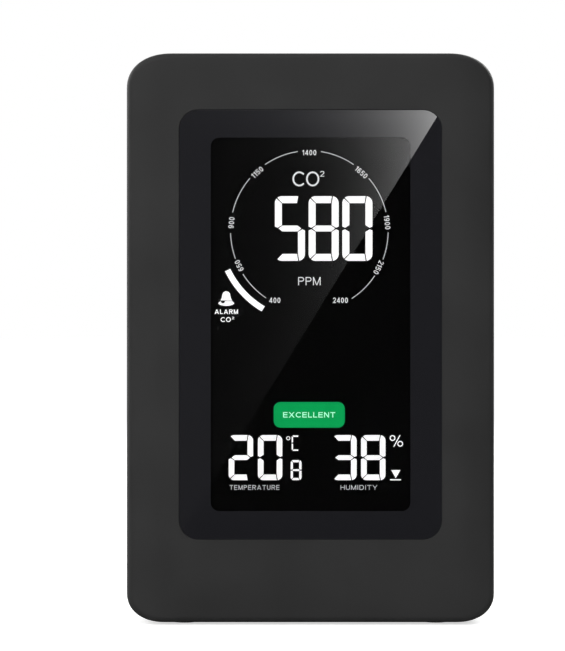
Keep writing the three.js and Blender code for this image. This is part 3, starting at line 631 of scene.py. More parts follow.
def hollow_ring(grow, y):
    section = inset(SILHOUETTE, HUMP_SIDE + WALL + grow, HUMP_TOP + WALL + 3 * grow, WALL + 0.4 * grow)
    return ring({**section, "top": HOLLOW_TOP_CORNER, "bottom": HOLLOW_LOW_CORNER}, y)


def rear_walls():
    """The rear casing's walls: its hollow, the lip, the stepped seam, the slab and the hump."""
    start = rear_low.y + LIP_REACH
    lip_front, lip_back = rear_low.y, start + 2
    slab = inset(SILHOUETTE, WALL + 0.2, WALL + 0.2, WALL)
    lip_inner, lip_outer = inset(SILHOUETTE, LIP_INSIDE), inset(SILHOUETTE, LIP_OUTSIDE)
    seam = inset(SILHOUETTE, SEAM_DEPTH)
    rings = [
        hollow_ring(HUMP_DRAFT_SIDE + 2, BACK - WALL),
        hollow_ring(HUMP_DRAFT_SIDE, BACK - HUMP_ROUND - 0.6),
        hollow_ring(0, HUMP_FILLET),
        hollow_ring(0, 0.1 - WALL),
        ring(slab, -WALL - 0.3),
        ring(slab, lip_back),
        ring(lip_inner, lip_back),
        ring(lip_inner, lip_front),
        ring(lip_outer, lip_front),
        ring(lip_outer, start - SEAM_STEP),
        ring(seam, start - SEAM_STEP),
        ring(seam, start),
        ring(inset(SILHOUETTE, PARTING_EDGE), start),
        ring(SILHOUETTE, start + PARTING_EDGE),
        ring(SILHOUETTE, -SLAB_ROUND),
    ]
    for inward, along in quarter(12):
        by = SLAB_ROUND * inward
        rings.append(ring(inset(SILHOUETTE, by, by, 0), SLAB_ROUND * (along - 1)))
    for inward, along in [(0, 0)] + quarter(8):
        out = HUMP_FILLET * (1 - along)
        rings.append(hump_ring(HUMP_SIDE - out, HUMP_TOP - out, 0, HUMP_FOOT + HUMP_FILLET * inward))
    side, top = HUMP_SIDE + HUMP_DRAFT_SIDE, HUMP_TOP + HUMP_DRAFT_TOP
    wall_end = BACK - HUMP_ROUND
    rings.append(hump_ring(side, top, 0, wall_end))
    for inward, along in quarter(12):
        by = HUMP_ROUND * inward
        rings.append(hump_ring(side + by, top + by, HUMP_LOW_ROUND * inward, wall_end + HUMP_ROUND * along))
    return loft("rear_casing", rings)


def flared_cutter(size, origin, across, along, outward, depth, flare=0.25, rise=1.0):
    """A cutter for a rounded slot whose mouth is rounded over.

    size is (length along `along`, width along `across`, corner radius).
    The mouth lies at origin and faces outward.
    """
    across, along, outward = Vector(across), Vector(along), Vector(outward)
    length, width, radius = size
    rings = []

    def level(grow, height):
        outline = rounded_outline(length, width, radius, steps=6, grow=grow)
        base = Vector(origin) + outward * height
        rings.append([tuple(base + along * u + across * v) for u, v in outline])

    level(0, -depth)
    level(0, -flare)
    mouth_degrees = 80
    mouth_steps = 4
    for i in range(1, mouth_steps + 1):
        turn = math.radians(mouth_degrees * i / mouth_steps)
        level(flare * (1 - math.cos(turn)), flare * (math.sin(turn) - 1))
    level(flare * 1.4, rise)
    return loft("cutter", rings)


def rearward_cutter(size, x, z, y_mouth, depth, flare=0.25, rise=1.0):
    """A cutter that goes in from the back; size is (width in x, height in z, corner radius)."""
    return flared_cutter(size, (x, y_mouth, z), (0, 0, 1), (1, 0, 0), (0, 1, 0), depth, flare, rise)


def row(count, pitch):
    return [(i - (count - 1) / 2) * pitch for i in range(count)]


SLOT = 1.8
SLOT_PITCH = 4.4
TOP_SLOT_PITCH = 4.8
VENT_MIDDLE = 67
SIDE_SLOT_FRONT, SIDE_SLOT_BACK = 5, 14
BACK_SLOTS, SIDE_SLOTS, TOP_SLOTS, BASE_SLOTS = 9, 7, 11, 7
BACK_SLOT_LENGTH, BASE_SLOT_LENGTH = 44, 6.5


def slot_size(length):
    return (length, SLOT, SLOT / 2 - 0.01)


def vent_cutters():
    """Air slots in the back, the sides, the sloping top of the hump and the base."""
    cutters = [
        rearward_cutter(slot_size(BACK_SLOT_LENGTH), 0, VENT_MIDDLE + z, BACK, WALL + 1)
        for z in row(BACK_SLOTS, SLOT_PITCH)
    ]
    wall_length = BACK - HUMP_ROUND - HUMP_FOOT - HUMP_FILLET
    middle = (SIDE_SLOT_FRONT + SIDE_SLOT_BACK) / 2
    share = (middle - HUMP_FOOT - HUMP_FILLET) / wall_length
    size = slot_size(SIDE_SLOT_BACK - SIDE_SLOT_FRONT)

    x_wall = SIDE - HUMP_SIDE - HUMP_DRAFT_SIDE * share
    lean = Vector((-HUMP_DRAFT_SIDE, wall_length, 0)).normalized()
    for sign in (-1, 1):
        along = Vector((sign * lean.x, lean.y, 0))
        outward = Vector((sign * lean.y, -lean.x, 0))
        for z in row(SIDE_SLOTS, SLOT_PITCH):
            origin = (sign * x_wall, middle, VENT_MIDDLE + z)
            cutters.append(flared_cutter(size, origin, (0, 0, 1), along, outward, WALL + 2))

    z_wall = TOP - HUMP_TOP - HUMP_DRAFT_TOP * share
    along = Vector((0, wall_length, -HUMP_DRAFT_TOP)).normalized()
    outward = Vector((0, -along.z, along.y))
    for x in row(TOP_SLOTS, TOP_SLOT_PITCH):
        cutters.append(flared_cutter(size, (x, middle, z_wall), (1, 0, 0), along, outward, WALL + 3))

    size = slot_size(BASE_SLOT_LENGTH)
    for x in row(BASE_SLOTS, TOP_SLOT_PITCH):
        cutters.append(flared_cutter(size, (x, 0.25, SOLE), (1, 0, 0), (0, 1, 0), (0, 0, -1), WALL + 1))
    return cutters


BOSS_RADIUS = 4.5
UPPER_BOSS_END, LOWER_BOSS_END = -1, BACK - 1.5
SCREW_WELL = (6.6, 6.6, 3.29)
SCREW_WELL_FLOOR = -2.1
UPPER_WELL_MOUTH = 0.12
SCREW_HOLE_RADIUS = 1.7
KEY_SIZE = (11, 6.6, 3.29)
KEY_GAP = 0.2
KEY_OPENING = (KEY_SIZE[0] + 2 * KEY_GAP, KEY_SIZE[1] + 2 * KEY_GAP, KEY_SIZE[2] + KEY_GAP)
KEY_FLOOR = 19.8
KEY_RECESS = (64, 12.6, 6.29)
KEY_PAD_FRONT = 17.9
KEY_PAD_SIDE, KEY_PAD_HALF = 33, 7.8
POWER_WALL_SIDE = 18
POWER_RECESS_DEPTH = 1
# The shallow recess round a node and the opening in the recess's floor.
POWER_OPENINGS = (
    ("usb_socket", (12.4, 7.6, 1.6), (8.2, 3.5, 0.6)),
    ("power_switch_body", (12.4, 6.2, 1.4), (7.2, 2.8, 0.4)),
)


def screw_boss(at):
    end = LOWER_BOSS_END if at.z < SHELL_MIDDLE else UPPER_BOSS_END
    return revolved("boss", [(BOSS_RADIUS, PARTING + 0.1), (BOSS_RADIUS, end)], (at.x, 0, at.z))


def screw_well(at):
    mouth = BACK if at.z < SHELL_MIDDLE else UPPER_WELL_MOUTH
    return rearward_cutter(SCREW_WELL, at.x, at.z, mouth, mouth - SCREW_WELL_FLOOR, flare=0.35)


def screw_hole(at):
    profile = [(SCREW_HOLE_RADIUS, PARTING - 2), (SCREW_HOLE_RADIUS, SCREW_WELL_FLOOR + 1)]
    return revolved("hole", profile, (at.x, 0, at.z), sides=24)


def rear_shell():
    """The rear casing with everything that is joined to it and cut from it."""
    screws = [middle_of(f"case_screw_{i}") for i in range(1, 5)]
    keys = [middle_of(f"button_{key}") for key in KEYS]
    key_z, socket_z = keys[0].z, middle_of("usb_socket").z
    inner_face, joined_at = BACK - WALL, BACK - WALL + 0.2
    pad_sides = (-KEY_PAD_SIDE, KEY_PAD_SIDE)
    pad = block("pad", pad_sides, (KEY_PAD_FRONT, joined_at), (key_z - KEY_PAD_HALF, key_z + KEY_PAD_HALF))
    wall_sides = (-POWER_WALL_SIDE, POWER_WALL_SIDE)
    power_wall = block("wall", wall_sides, (inner_face - 1, joined_at), (socket_z - 0.7, socket_z + 5.5))
    mesh = boolean(rear_walls(), [screw_boss(at) for at in screws] + [pad, power_wall], "UNION")

    cutters = vent_cutters() + [screw_well(at) for at in screws]
    cutters.append(rearward_cutter(KEY_RECESS, 0, key_z, BACK, BACK - KEY_FLOOR, flare=0.5))
    holes = [rearward_cutter(KEY_OPENING, at.x, key_z, KEY_FLOOR, 3, flare=0.12, rise=0.6) for at in keys]
    for node, recess, opening in POWER_OPENINGS:
        at = middle_of(node)
        cutters.append(rearward_cutter(recess, at.x, at.z, BACK, POWER_RECESS_DEPTH, flare=0.3))
        holes.append(rearward_cutter(opening, at.x, at.z, BACK - POWER_RECESS_DEPTH, 4, flare=0.15, rise=0.6))
    cutters += [foot_hole("foot_3"), foot_hole("foot_4")]
    mesh = boolean(mesh, cutters, "DIFFERENCE")
    return shaded(boolean(mesh, holes + [screw_hole(at) for at in screws], "DIFFERENCE"))


add_piece("front_casing", front_shell(), "housing", replaced=["front_shell"])
add_piece("rear_casing", rear_shell(), "housing", replaced=["rear_shell"])

# ---- feet and screws ----


def foot(node):
    """A round rubber foot with a rounded sole and a shallow round hollow in it."""
    low, high = cad_box(node)
    middle = (low + high) / 2
    radius, thick = (high.x - low.x) / 2 + 0.03, high.z
    rim, rise = 1.3, 0.5
    profile = [(0.4, 0.12), (1.3, 0.12), (1.45, 0.0), (radius - rim, 0.0)]
    profile += [(radius - rim * (1 - s), rise * i) for i, s in quarter(6)]
    profile += [(radius, thick - 0.1), (radius - 0.1, thick), (0.4, thick)]
    return shaded(revolved(node, profile, (middle.x, middle.y, 0), axis="z"), 40)


for i in range(1, 5):
    add_piece(f"foot_pad_{i}", foot(f"foot_{i}"), "foot_rubber", replaced=[f"foot_{i}"])


def cross_screw(node):
    """A pan-headed screw with rings for its thread and a tapered cross recess."""
    low, high = cad_box(node)
    middle = (low + high) / 2
    head = (high.x - low.x) / 2
    seat = max(low.y, high.y - 0.68 * head)
    rise = high.y - seat
    shank = 0.46 * head
    core = 0.82 * shank
    pitch = 0.9
    profile = [(0.25 * shank, low.y), (0.9 * shank, low.y + 1.2)]
    for k in range(int((seat - low.y - 2.4) / pitch)):
        start = low.y + 1.3 + k * pitch
        profile += [(core, start), (shank, start + 0.3 * pitch), (core, start + 0.6 * pitch)]
    profile += [(core, seat - 0.5), (core, seat)]
    profile += [(head - 0.1, seat), (head, seat + 0.1), (head, seat + 0.38 * rise)]
    for inward, along in quarter(6):
        profile.append((head * (1 - 0.45 * inward), seat + rise * (0.38 + 0.54 * along)))
    profile += [(0.3 * head, seat + 0.98 * rise), (0.05 * head, high.y)]
    body = revolved("screw", profile, (middle.x, 0, middle.z), sides=40)

    # The height, half length and half width of each arm, at its bottom and above its mouth.
    levels = ((high.y - 0.75 * rise, 0.3 * head, 0.09 * head), (high.y + 0.5, 0.68 * head, 0.17 * head))
    recess = []
    for turn in (0, math.pi / 2):
        across = Vector((math.cos(turn), 0, math.sin(turn)))
        side = Vector((-math.sin(turn), 0, math.cos(turn)))
        rings = []
        for height, a, b in levels:
            base = Vector((middle.x, height, middle.z))
            corners = ((-a, -b), (a, -b), (a, b), (-a, b))
            rings.append([tuple(base + across * u + side * v) for u, v in corners])
        recess.append(loft("arm", rings))
    return shaded(boolean(body, recess, "DIFFERENCE"), 40)


for i in range(1, 5):
    for name, node in ((f"pan_screw_{i}", f"case_screw_{i}"), (f"board_pan_screw_{i}", f"board_screw_{i}")):
        add_piece(name, cross_screw(node), "screw_steel", replaced=[node])

# ---- window ----
VIEW_SIZE = (52, 97.3, 2.3)
VIEW_MIDDLE = 78.3
LENS_EDGE = 0.1


def view_outline(grow=0.0):
    return rounded_outline(*VIEW_SIZE, z=VIEW_MIDDLE, steps=CORNER_STEPS, grow=grow)


def printed_border():
    """The part of the window that has print behind it, with a polished rounded edge."""
    rings = [at_depth(view_outline(), LENS_BACK), at_depth(view_outline(), FRONT)]
    for turn in (math.pi / 2, math.pi / 3, math.pi / 4, math.pi / 6, 0):
        outline = window_outline(WINDOW_SIZE, -LENS_EDGE * (1 - math.cos(turn)))
        rings.append(at_depth(outline, FRONT + LENS_EDGE * (1 - math.sin(turn))))
    rings.append(at_depth(window_outline(WINDOW_SIZE), LENS_BACK))
    return shaded(loft("window_border", rings, closed=True), 5)


pane = shaded(plate("window_pane", view_outline(-0.002), FRONT, LENS_BACK))
add_piece("window_border", printed_border(), "window_print", replaced=["display_window"])
add_piece("window_pane", pane, "window", replaced=["display_window"])

# ---- marks of the display ----
MARK_BACK = LENS_BACK + 0.22
MARK_THICK = 0.03
MARK_FRONT = MARK_BACK - MARK_THICK


def raised(outline):
    """A thin closed plate of a mark."""
    return plate("mark", outline, MARK_FRONT, MARK_BACK)


def ring_mark(x, z, outer, inner, start=0.0, end=360.0, steps=48):
    """A ring or an arc, from one angle to another in degrees."""
    full = abs(end - start) >= 360
    corners = ((outer, MARK_FRONT), (inner, MARK_FRONT), (inner, MARK_BACK), (outer, MARK_BACK))
    sections = []
    for i in range(steps if full else steps + 1):
        turn = math.radians(start + (end - start) * i / steps)
        c, s = math.cos(turn), math.sin(turn)
        sections.append([(x + r * c, y, z + r * s) for r, y in corners])
    return loft("mark", sections, closed=full)


def shrunk(outline, by):
    """A convex outline with each side moved in."""
    sides = list(zip(outline, outline[1:] + outline[:1]))
    sign = math.copysign(1, sum(x0 * z1 - x1 * z0 for (x0, z0), (x1, z1) in sides))
    lines = []
    for (x0, z0), (x1, z1) in sides:
        length = math.hypot(x1 - x0, z1 - z0)
        nx, nz = -(z1 - z0) / length * sign, (x1 - x0) / length * sign
        lines.append((x0 + nx * by, z0 + nz * by, x1 - x0, z1 - z0))
    points = []
    for (ax, az, adx, adz), (bx, bz, bdx, bdz) in zip(lines[-1:] + lines[:-1], lines):
        cross = adx * bdz - adz * bdx
        if abs(cross) < 1e-9:
            points.append((bx, bz))
        else:
            t = ((bx - ax) * bdz - (bz - az) * bdx) / cross
            points.append((ax + adx * t, az + adz * t))
    return points


def polar(cx, cz, radius, degrees):
    return cx + radius * math.cos(math.radians(degrees)), cz + radius * math.sin(math.radians(degrees))


def oval(cx, cz, rx, rz, start=0, end=360, steps=20):
    """Points on an ellipse; a full turn leaves out its last point."""
    count = steps if abs(end - start) >= 360 else steps + 1
    turns = [math.radians(start + (end - start) * i / steps) for i in range(count)]
    return [(cx + rx * math.cos(t), cz + rz * math.sin(t)) for t in turns]


def arc_points(cx, cz, radius, start, end, steps=8):
    return oval(cx, cz, radius, radius, start, end, steps)


LIT = {"0": "abcdef", "2": "abdeg", "3": "abcdg", "5": "acdfg", "8": "abcdefg", "C": "adef"}
SEGMENT_GAP = 0.062


def segments(width, height, thick, round_):
    """The seven segments of a digit that stands on (0, 0), each as an outline."""
    w, h, t, r = width, height, thick, round_
    mid = h / 2
    tip = 0.4 * t
    slit = 0.07 * t
    bar = 0.43 * t
    shoulder = tip + 0.62 * t
    joint, bar_end = (math.degrees(math.acos((r - share * t) / r)) for share in (0.82, 0.9))
    right = arc_points(w - r, h - r, r, joint, 0)
    right += [(w, mid + 0.24 * t), (w - tip, mid + slit), (w - t, mid + 0.44 * t), (w - t, h - t)]
    left = arc_points(r, h - r, r, 138, 180)
    left += [(0, mid + 0.24 * t), (tip, mid + slit), (t, mid + 0.44 * t), (t, h - t)]
    top = arc_points(r, h - r, r, 132, 90, 5)
    top += [(w - r, h), polar(w - r, h - r, r, bar_end), (w - 1.07 * t, h - t), (1.03 * t, h - t)]
    middle = [(tip + slit, mid), (shoulder, mid + bar), (w - shoulder, mid + bar), (w - tip - slit, mid)]
    middle += [(w - shoulder, mid - bar), (shoulder, mid - bar)]
    shapes = {"a": top, "b": right, "f": left, "g": middle}
    for lower, upper in (("c", right), ("d", top), ("e", left)):
        shapes[lower] = [(x, h - z) for x, z in reversed(upper)]
    return shapes


def digit(character, x, z, width, height, thick, round_):
    shapes = segments(width, height, thick, round_)
    meshes = []
    for name in LIT[character]:
        outline = shrunk(shapes[name], SEGMENT_GAP)
        meshes.append(raised([(x + px, z + pz) for px, pz in outline]))
    return meshes


def number(figures, base, size):
    """Figures that stand on one line, each with its left edge."""
    return [mesh for figure, x in figures for mesh in digit(figure, x, base, *size)]


def path(points, half, closed):
    """A line of constant width as pairs of edge points, with mitred corners."""
    count = len(points)
    pairs = []
    for i, point in enumerate(points):
        here = Vector(point)
        legs = []
        if closed or i > 0:
            legs.append((here - Vector(points[i - 1])).normalized())
        if closed or i < count - 1:
            legs.append((Vector(points[(i + 1) % count]) - here).normalized())
        lead = (legs[0] + legs[-1]).normalized()
        reach = min(half / max(0.2, lead.dot(legs[0])), 2.2 * half)
        side = Vector((-lead.y, lead.x)) * reach
        pairs.append((here + side, here - side))
    return pairs, closed


def slant(x0, z0, x1, z1, half):
    """A slanting line cut off level at both ends."""
    reach = half * math.hypot(x1 - x0, z1 - z0) / abs(z1 - z0)
    return [(Vector((x - reach, z)), Vector((x + reach, z))) for x, z in ((x0, z0), (x1, z1))], False


GLYPH_WIDTH = {
    "0": 0.66, "1": 0.38, "2": 0.66, "4": 0.7, "5": 0.66, "6": 0.66, "9": 0.66,
    "A": 0.94, "C": 0.86, "D": 0.8, "E": 0.7, "H": 0.76, "I": 0.2, "L": 0.62, "M": 0.92, "N": 0.78,
    "O": 0.94, "P": 0.72, "R": 0.8, "T": 0.78, "U": 0.76, "X": 0.88, "Y": 0.88,
}


def glyph(letter, w, t):
    """The strokes of a plain upright letter or number, one high and w wide, with strokes t thick."""
    h = t / 2
    right, up, mid = w - h, 1 - h, w / 2

    def line(*points, half=h, closed=False):
        return path(points, half, closed)

    def leaning(x0, z0, x1, z1, half=h):
        return slant(x0, z0, x1, z1, half)

    stems = [line((h, 0), (h, 1)), line((right, 0), (right, 1))]
    if letter in "0O":
        return [line(*oval(mid, 0.5, mid - h, 0.5 - h), closed=True)]
    if letter == "1":
        return [stems[1], line((0, 0.72), (right, 0.9), half=h * 0.9)]
    if letter == "2":
        return [line(*oval(mid, 0.69, mid - h, 0.31 - h, 170, -38, 12), (h * 1.3, h), (w, h))]
    if letter == "4":
        return [line((w, 0.28), (h, 0.28), (0.66 * w, up)), line((0.72 * w, 1), (0.72 * w, 0))]
    if letter == "5":
        bowl = oval(mid, 0.34, mid - h, 0.34 - h, 125, -155, 14)
        return [line((0.93 * w, up), (0.2 * w, up), (0.13 * w, 0.53), *bowl[1:])]
    if letter in "69":
        strokes = [
            line(*oval(mid, 0.33, mid - h, 0.33 - h), closed=True),
            line(*oval(mid, 0.5, mid - h, 0.5 - h, 38, 180, 10), (h, 0.33)),
        ]
        if letter == "6":
            return strokes
        turned = Vector((w, 1))
        return [([(turned - a, turned - b) for a, b in pairs], closed) for pairs, closed in strokes]
    if letter == "C":
        mouth = 42
        reach = (w - t) / (1 + math.cos(math.radians(mouth)))
        return [line(*oval(h + reach, 0.5, reach, 0.5 - h, mouth, 360 - mouth))]
    if letter in "PR":
        bowl = oval(w - 0.3, 0.72, 0.3 - h, 0.28 - h, 90, -90, 10)
        strokes = [line((h, 0), (h, up), *bowl, (h, 0.44 + h))]
        return strokes + ([leaning(right, 0, 0.5 * w, 0.5)] if letter == "R" else [])
    if letter == "D":
        bowl = oval(w - 0.4, 0.5, 0.4 - h, 0.5 - h, 90, -90, 12)
        return [line((h, h), (h, up), *bowl, closed=True)]
    if letter == "U":
        return [line((h, 1), *oval(mid, 0.3, mid - h, 0.3 - h, 180, 360, 12), (right, 1))]
    if letter == "A":
        bar = line((0.2 * w, 0.28), (0.8 * w, 0.28), half=h * 0.9)
        return [leaning(h, 0, mid, 1), leaning(right, 0, mid, 1), bar]
    if letter == "M":
        return stems + [leaning(mid, 0, side, 1, h * 0.9) for side in (h, right)]
    if letter == "N":
        return stems + [leaning(right, 0, h, 1)]
    if letter == "H":
        return stems + [line((h, 0.52), (right, 0.52))]
    if letter == "E":
        return [line((w, h), (h, h), (h, up), (w, up)), line((h, 0.52), (0.94 * w, 0.52))]
    if letter == "L":
        return [line((h, 1), (h, h), (w, h))]
    if letter == "T":
        return [line((0, up), (w, up)), line((mid, 0), (mid, up))]
    if letter == "X":
        return [leaning(h, 0, right, 1), leaning(right, 0, h, 1)]
    if letter == "Y":
        return [leaning(mid, 0.42, h, 1), leaning(mid, 0.42, right, 1), line((mid, 0), (mid, 0.46))]
    return [line((mid, 0), (mid, 1))]


def words(text, x, z, height, width, weight, turn=0.0, gap=0.18, lift=0.0):
    """Plain capital lettering centred on (x, z): weight and gap are in parts of the height."""
    natural = sum(GLYPH_WIDTH[c] for c in text)
    stretch = (width / height - gap * (len(text) - 1)) / natural
    c, s = math.cos(math.radians(turn)), math.sin(math.radians(turn))
    meshes = []
    pen = -width / height / 2
    for letter in text:
        w = GLYPH_WIDTH[letter] * stretch
        for pairs, closed in glyph(letter, w, weight):
            sections = []
            for left, right in pairs:
                corners = ((left, MARK_FRONT), (right, MARK_FRONT), (right, MARK_BACK), (left, MARK_BACK))
                across = [((pen + edge.x) * height, (edge.y - 0.5) * height, y) for edge, y in corners]
                sections.append([(x + u * c - v * s, y - lift, z + u * s + v * c) for u, v, y in across])
            meshes.append(loft("letter", sections, closed=closed))
        pen += w + gap
    return joined("words", meshes)


DIAL = (-0.3, 102.67)
DIAL_RADIUS = 20.55
DIAL_STRETCH = 1.018
DIAL_LINE = 0.2
DIAL_FIRST, DIAL_STEP = 400, 250
DIAL_ANGLES = (244, 206.3, 174, 131.6, 90, 48.4, 6.3, -27.8, -64)
# How far short of each number the line stops, before it and after it, in degrees.
DIAL_GAP = (
    (0, 7.3), (6.2, 6.0), (7.6, 7.4), (7.4, 7.4), (8.5, 8.5), (7.4, 7.4), (7.4, 7.4), (7.0, 6.2), (6.6, 0),
)
LABEL_HEIGHT, LABEL_PITCH = 1.42, 0.97
NARROW_ONE = 0.25  # how much less than a digit's pitch a 1 takes
END_LABEL_RISE = 84.58
END_LABEL_SIDE = (-9.31, 7.8)
LEVEL_INNER, LEVEL_OUTER = 22.85, 24.4
LEVEL_START, LEVEL_END = 205.6, 239.4


def dial():
    """The round scale, broken where its numbers stand."""
    meshes = []
    cx, cz = DIAL
    half = DIAL_LINE / 2
    last = len(DIAL_ANGLES) - 1
    for k in range(last):
        start = DIAL_ANGLES[k] - DIAL_GAP[k][1]
        end = DIAL_ANGLES[k + 1] + DIAL_GAP[k + 1][0]
        arc = ring_mark(cx, cz, DIAL_RADIUS + half, DIAL_RADIUS - half, start, end)
        for vertex in arc.vertices:
            vertex.co.z = cz * MM + (vertex.co.z - cz * MM) * DIAL_STRETCH
        meshes.append(arc)
    return meshes


def dial_numbers():
    """The numbers along the scale; the first and the last stand upright inside its ends."""
    cx, cz = DIAL
    last = len(DIAL_ANGLES) - 1
    meshes = []
    for k, angle in enumerate(DIAL_ANGLES):
        text = str(DIAL_FIRST + k * DIAL_STEP)
        if k in (0, last):
            x, z, turn = END_LABEL_SIDE[k > 0], END_LABEL_RISE, 0
        else:
            x, z = polar(cx, cz, DIAL_RADIUS - 0.12, angle)
            turn = angle - 90
        width = LABEL_PITCH * (len(text) - NARROW_ONE * text.count("1"))
        meshes.append(words(text, x, z, LABEL_HEIGHT, width, 0.145, turn))
    return meshes


BELL = (-21.97, 84.9)
BELL_SIZE = 0.95


def bell():
    """An alarm bell: a domed body over a brim, parted by a thin line, with the clapper's notch."""
    dome = [(-1.62, -0.38), (-1.25, 0.35), (-1.1, 1.1)] + arc_points(0, 1.05, 1.1, 165, 15, 10)
    dome += [(1.1, 1.1), (1.25, 0.35), (1.62, -0.45)]
    brim = oval(0, -1.1, 2.18, 0.78, 180, 360, 24) + [(1.7, -0.62), (0.2, -0.5)]
    brim += arc_points(-0.92, -0.62, 0.55, 0, -180) + [(-1.7, -0.62)]
    x, z = BELL
    return [raised([(x + BELL_SIZE * px, z + BELL_SIZE * pz) for px, pz in part]) for part in (dome, brim)]


MAIN_DIGIT = (7.97, 17.0, 1.95, 1.85)
MAIN_BASE = 94.8
SMALL_DIGIT = (6.5, 11.88, 1.6, 1.5)
SMALL_BASE = 37.6
PILL = (18.56, 6.68, 1.8)
PILL_AT = (-0.33, 54.7)


def marks():
    """The white marks of the display: each piece's look and meshes, by its name."""
    main = number([("5", -9.35), ("8", -0.55), ("0", 8.25)], MAIN_BASE, MAIN_DIGIT)
    temperature = number([("2", -21.4), ("0", -13.78)], SMALL_BASE, SMALL_DIGIT)
    temperature += digit("8", -5.23, SMALL_BASE, 2.95, 5.36, 0.72, 0.8)
    temperature += digit("C", -4.98, SMALL_BASE + 7.65, 2.35, 4.15, 0.5, 0.55)
    temperature.append(ring_mark(-5.8, 48.6, 0.52, 0.33, steps=24))
    humidity = number([("3", 5.6), ("8", 13.12)], SMALL_BASE, SMALL_DIGIT)
    for cx, cz in ((21.4, 48.65), (23.4, 47.15)):
        humidity.append(ring_mark(cx, cz, 0.76, 0.48, steps=28))
    humidity.append(raised([(21.55, 46.35), (21.85, 46.35), (23.5, 49.4), (23.2, 49.4)]))
    trend = [
        raised([(21.05, 40.3), (22.25, 38.15), (23.45, 40.3)]),
        raised([(20.75, 37.6), (23.6, 37.6), (23.6, 37.92), (20.75, 37.92)]),
    ]
    titles = [
        words("CO", -1.2, 116.24, 3.91, 7.03, 0.115, gap=0.09),
        words("2", 3.05, 117.57, 1.46, 1.1, 0.13),
        words("PPM", -0.29, 89.57, 2.14, 5.85, 0.11),
    ]
    alarm = bell() + [
        words("ALARM", -21.95, 81.6, 1.2, 6.1, 0.19, gap=0.2),
        words("CO", -22.1, 79.55, 1.28, 2.7, 0.175, gap=0.16),
        words("2", -20.2, 79.95, 0.68, 0.6, 0.2),
    ]
    labels = [
        words("HUMIDITY", 12.64, 35.76, 1.22, 9.6, 0.13, gap=0.24),
        words("TEMPERATURE", -14.6, 35.76, 1.22, 13.0, 0.13, gap=0.24),
    ]
    return {
        "main_value": ("lcd_marks", main),
        "level_arc": ("lcd_marks", [ring_mark(*DIAL, LEVEL_OUTER, LEVEL_INNER, LEVEL_START, LEVEL_END)]),
        "temperature_value": ("lcd_marks", temperature),
        "humidity_value": ("lcd_marks", humidity),
        "humidity_trend": ("lcd_marks", trend),
        "alarm_mark": ("lcd_marks", alarm),
        "title_marks": ("lcd_small", titles),
        "dial_scale": ("lcd_scale", dial()),
        "dial_numbers": ("lcd_small", dial_numbers()),
        "unit_labels": ("lcd_scale", labels),
    }


for name, (look, meshes) in marks().items():
    add_piece(name, joined(name, meshes), look)

pill = raised(rounded_outline(*PILL, x=PILL_AT[0], z=PILL_AT[1]))
add_piece("rating_field", pill, "lcd_green")
word = words("EXCELLENT", *PILL_AT, 1.42, 13.6, 0.17, gap=0.22, lift=2 * MARK_THICK)
add_piece("rating_word", word, "lcd_rating")

# ---- keys ----
KEY_TOP = BACK - 0.2


def key_cap(node):
    """A soft cap with a flange, a rounded rim and a slightly crowned top."""
    low, high = cad_box(node)
    x, z = (low.x + high.x) / 2, (low.z + high.z) / 2

    def outline(grow):
        return rounded_outline(*KEY_SIZE, x=x, z=z, steps=10, grow=grow)

    flange_back = KEY_PAD_FRONT - 0.1
    rim, crown = 0.7, 0.12
    wall_end = KEY_TOP - crown - rim
    flange = [(0.85, flange_back - 0.8), (0.9, flange_back - 0.7), (0.9, flange_back), (0, flange_back)]
    rings = [at_depth(outline(grow), y) for grow, y in flange + [(0, wall_end)]]
    rings += [at_depth(outline(-rim * inward), wall_end + rim * along) for inward, along in quarter(7)]
    for i in range(1, 7):
        share = i / 6
        inward = rim + (KEY_SIZE[2] - rim - 0.05) * share
        rings.append(at_depth(outline(-inward), KEY_TOP - crown * (1 - share) ** 2))
    return shaded(loft("key_cap", rings), 50)


for key in KEYS:
    node = f"button_{key}"
    add_piece(f"cap_{key}", key_cap(node), "button_rubber", body=f"key_{key}", replaced=[node])


def key_mark(outline, at):
    points = [(at.x + x, at.z + z) for x, z in outline]
    return plate("key_mark", points, KEY_TOP - 0.06, KEY_TOP + 0.03)


def small_bell():
    """The outline of a bell, with a flat foot."""
    right = [(-1.15, -0.85), (1.15, -0.85), (0.8, -0.35), (0.75, 0.25)]
    return right + arc_points(0, 0.25, 0.75, 15, 165) + [(-0.75, 0.25), (-0.8, -0.35)]


KEY_MARKS = {
    "set": arc_points(0, 0, 0.75, 0, 345, 23),
    "up": [(-1, -0.5), (1, -0.5), (0, 0.9)],
    "down": [(0, -0.9), (1, 0.5), (-1, 0.5)],
    "alarm": small_bell(),
}
for key, outline in KEY_MARKS.items():
    mesh = key_mark(outline, middle_of(f"button_{key}"))
    add_piece(f"print_{key}", mesh, "key_print", body=f"key_{key}")

# ---- socket and switch ----


def softened(node, width):
    """A copy of a CAD node with its flat faces whole and its edges rounded."""
    mesh = frame["nodes"][node].data.copy()
    work = bmesh.new()
    work.from_mesh(mesh)
    bmesh.ops.remove_doubles(work, verts=work.verts, dist=2e-6)
    bmesh.ops.dissolve_limit(work, angle_limit=math.radians(1.0), verts=work.verts, edges=work.edges)
    work.to_mesh(mesh)
    work.free()
    limits = {"limit_method": "ANGLE", "angle_limit": math.radians(30), "use_clamp_overlap": True}
    return shaded(modified(mesh, "BEVEL", width=width * MM, segments=2, **limits), 50)


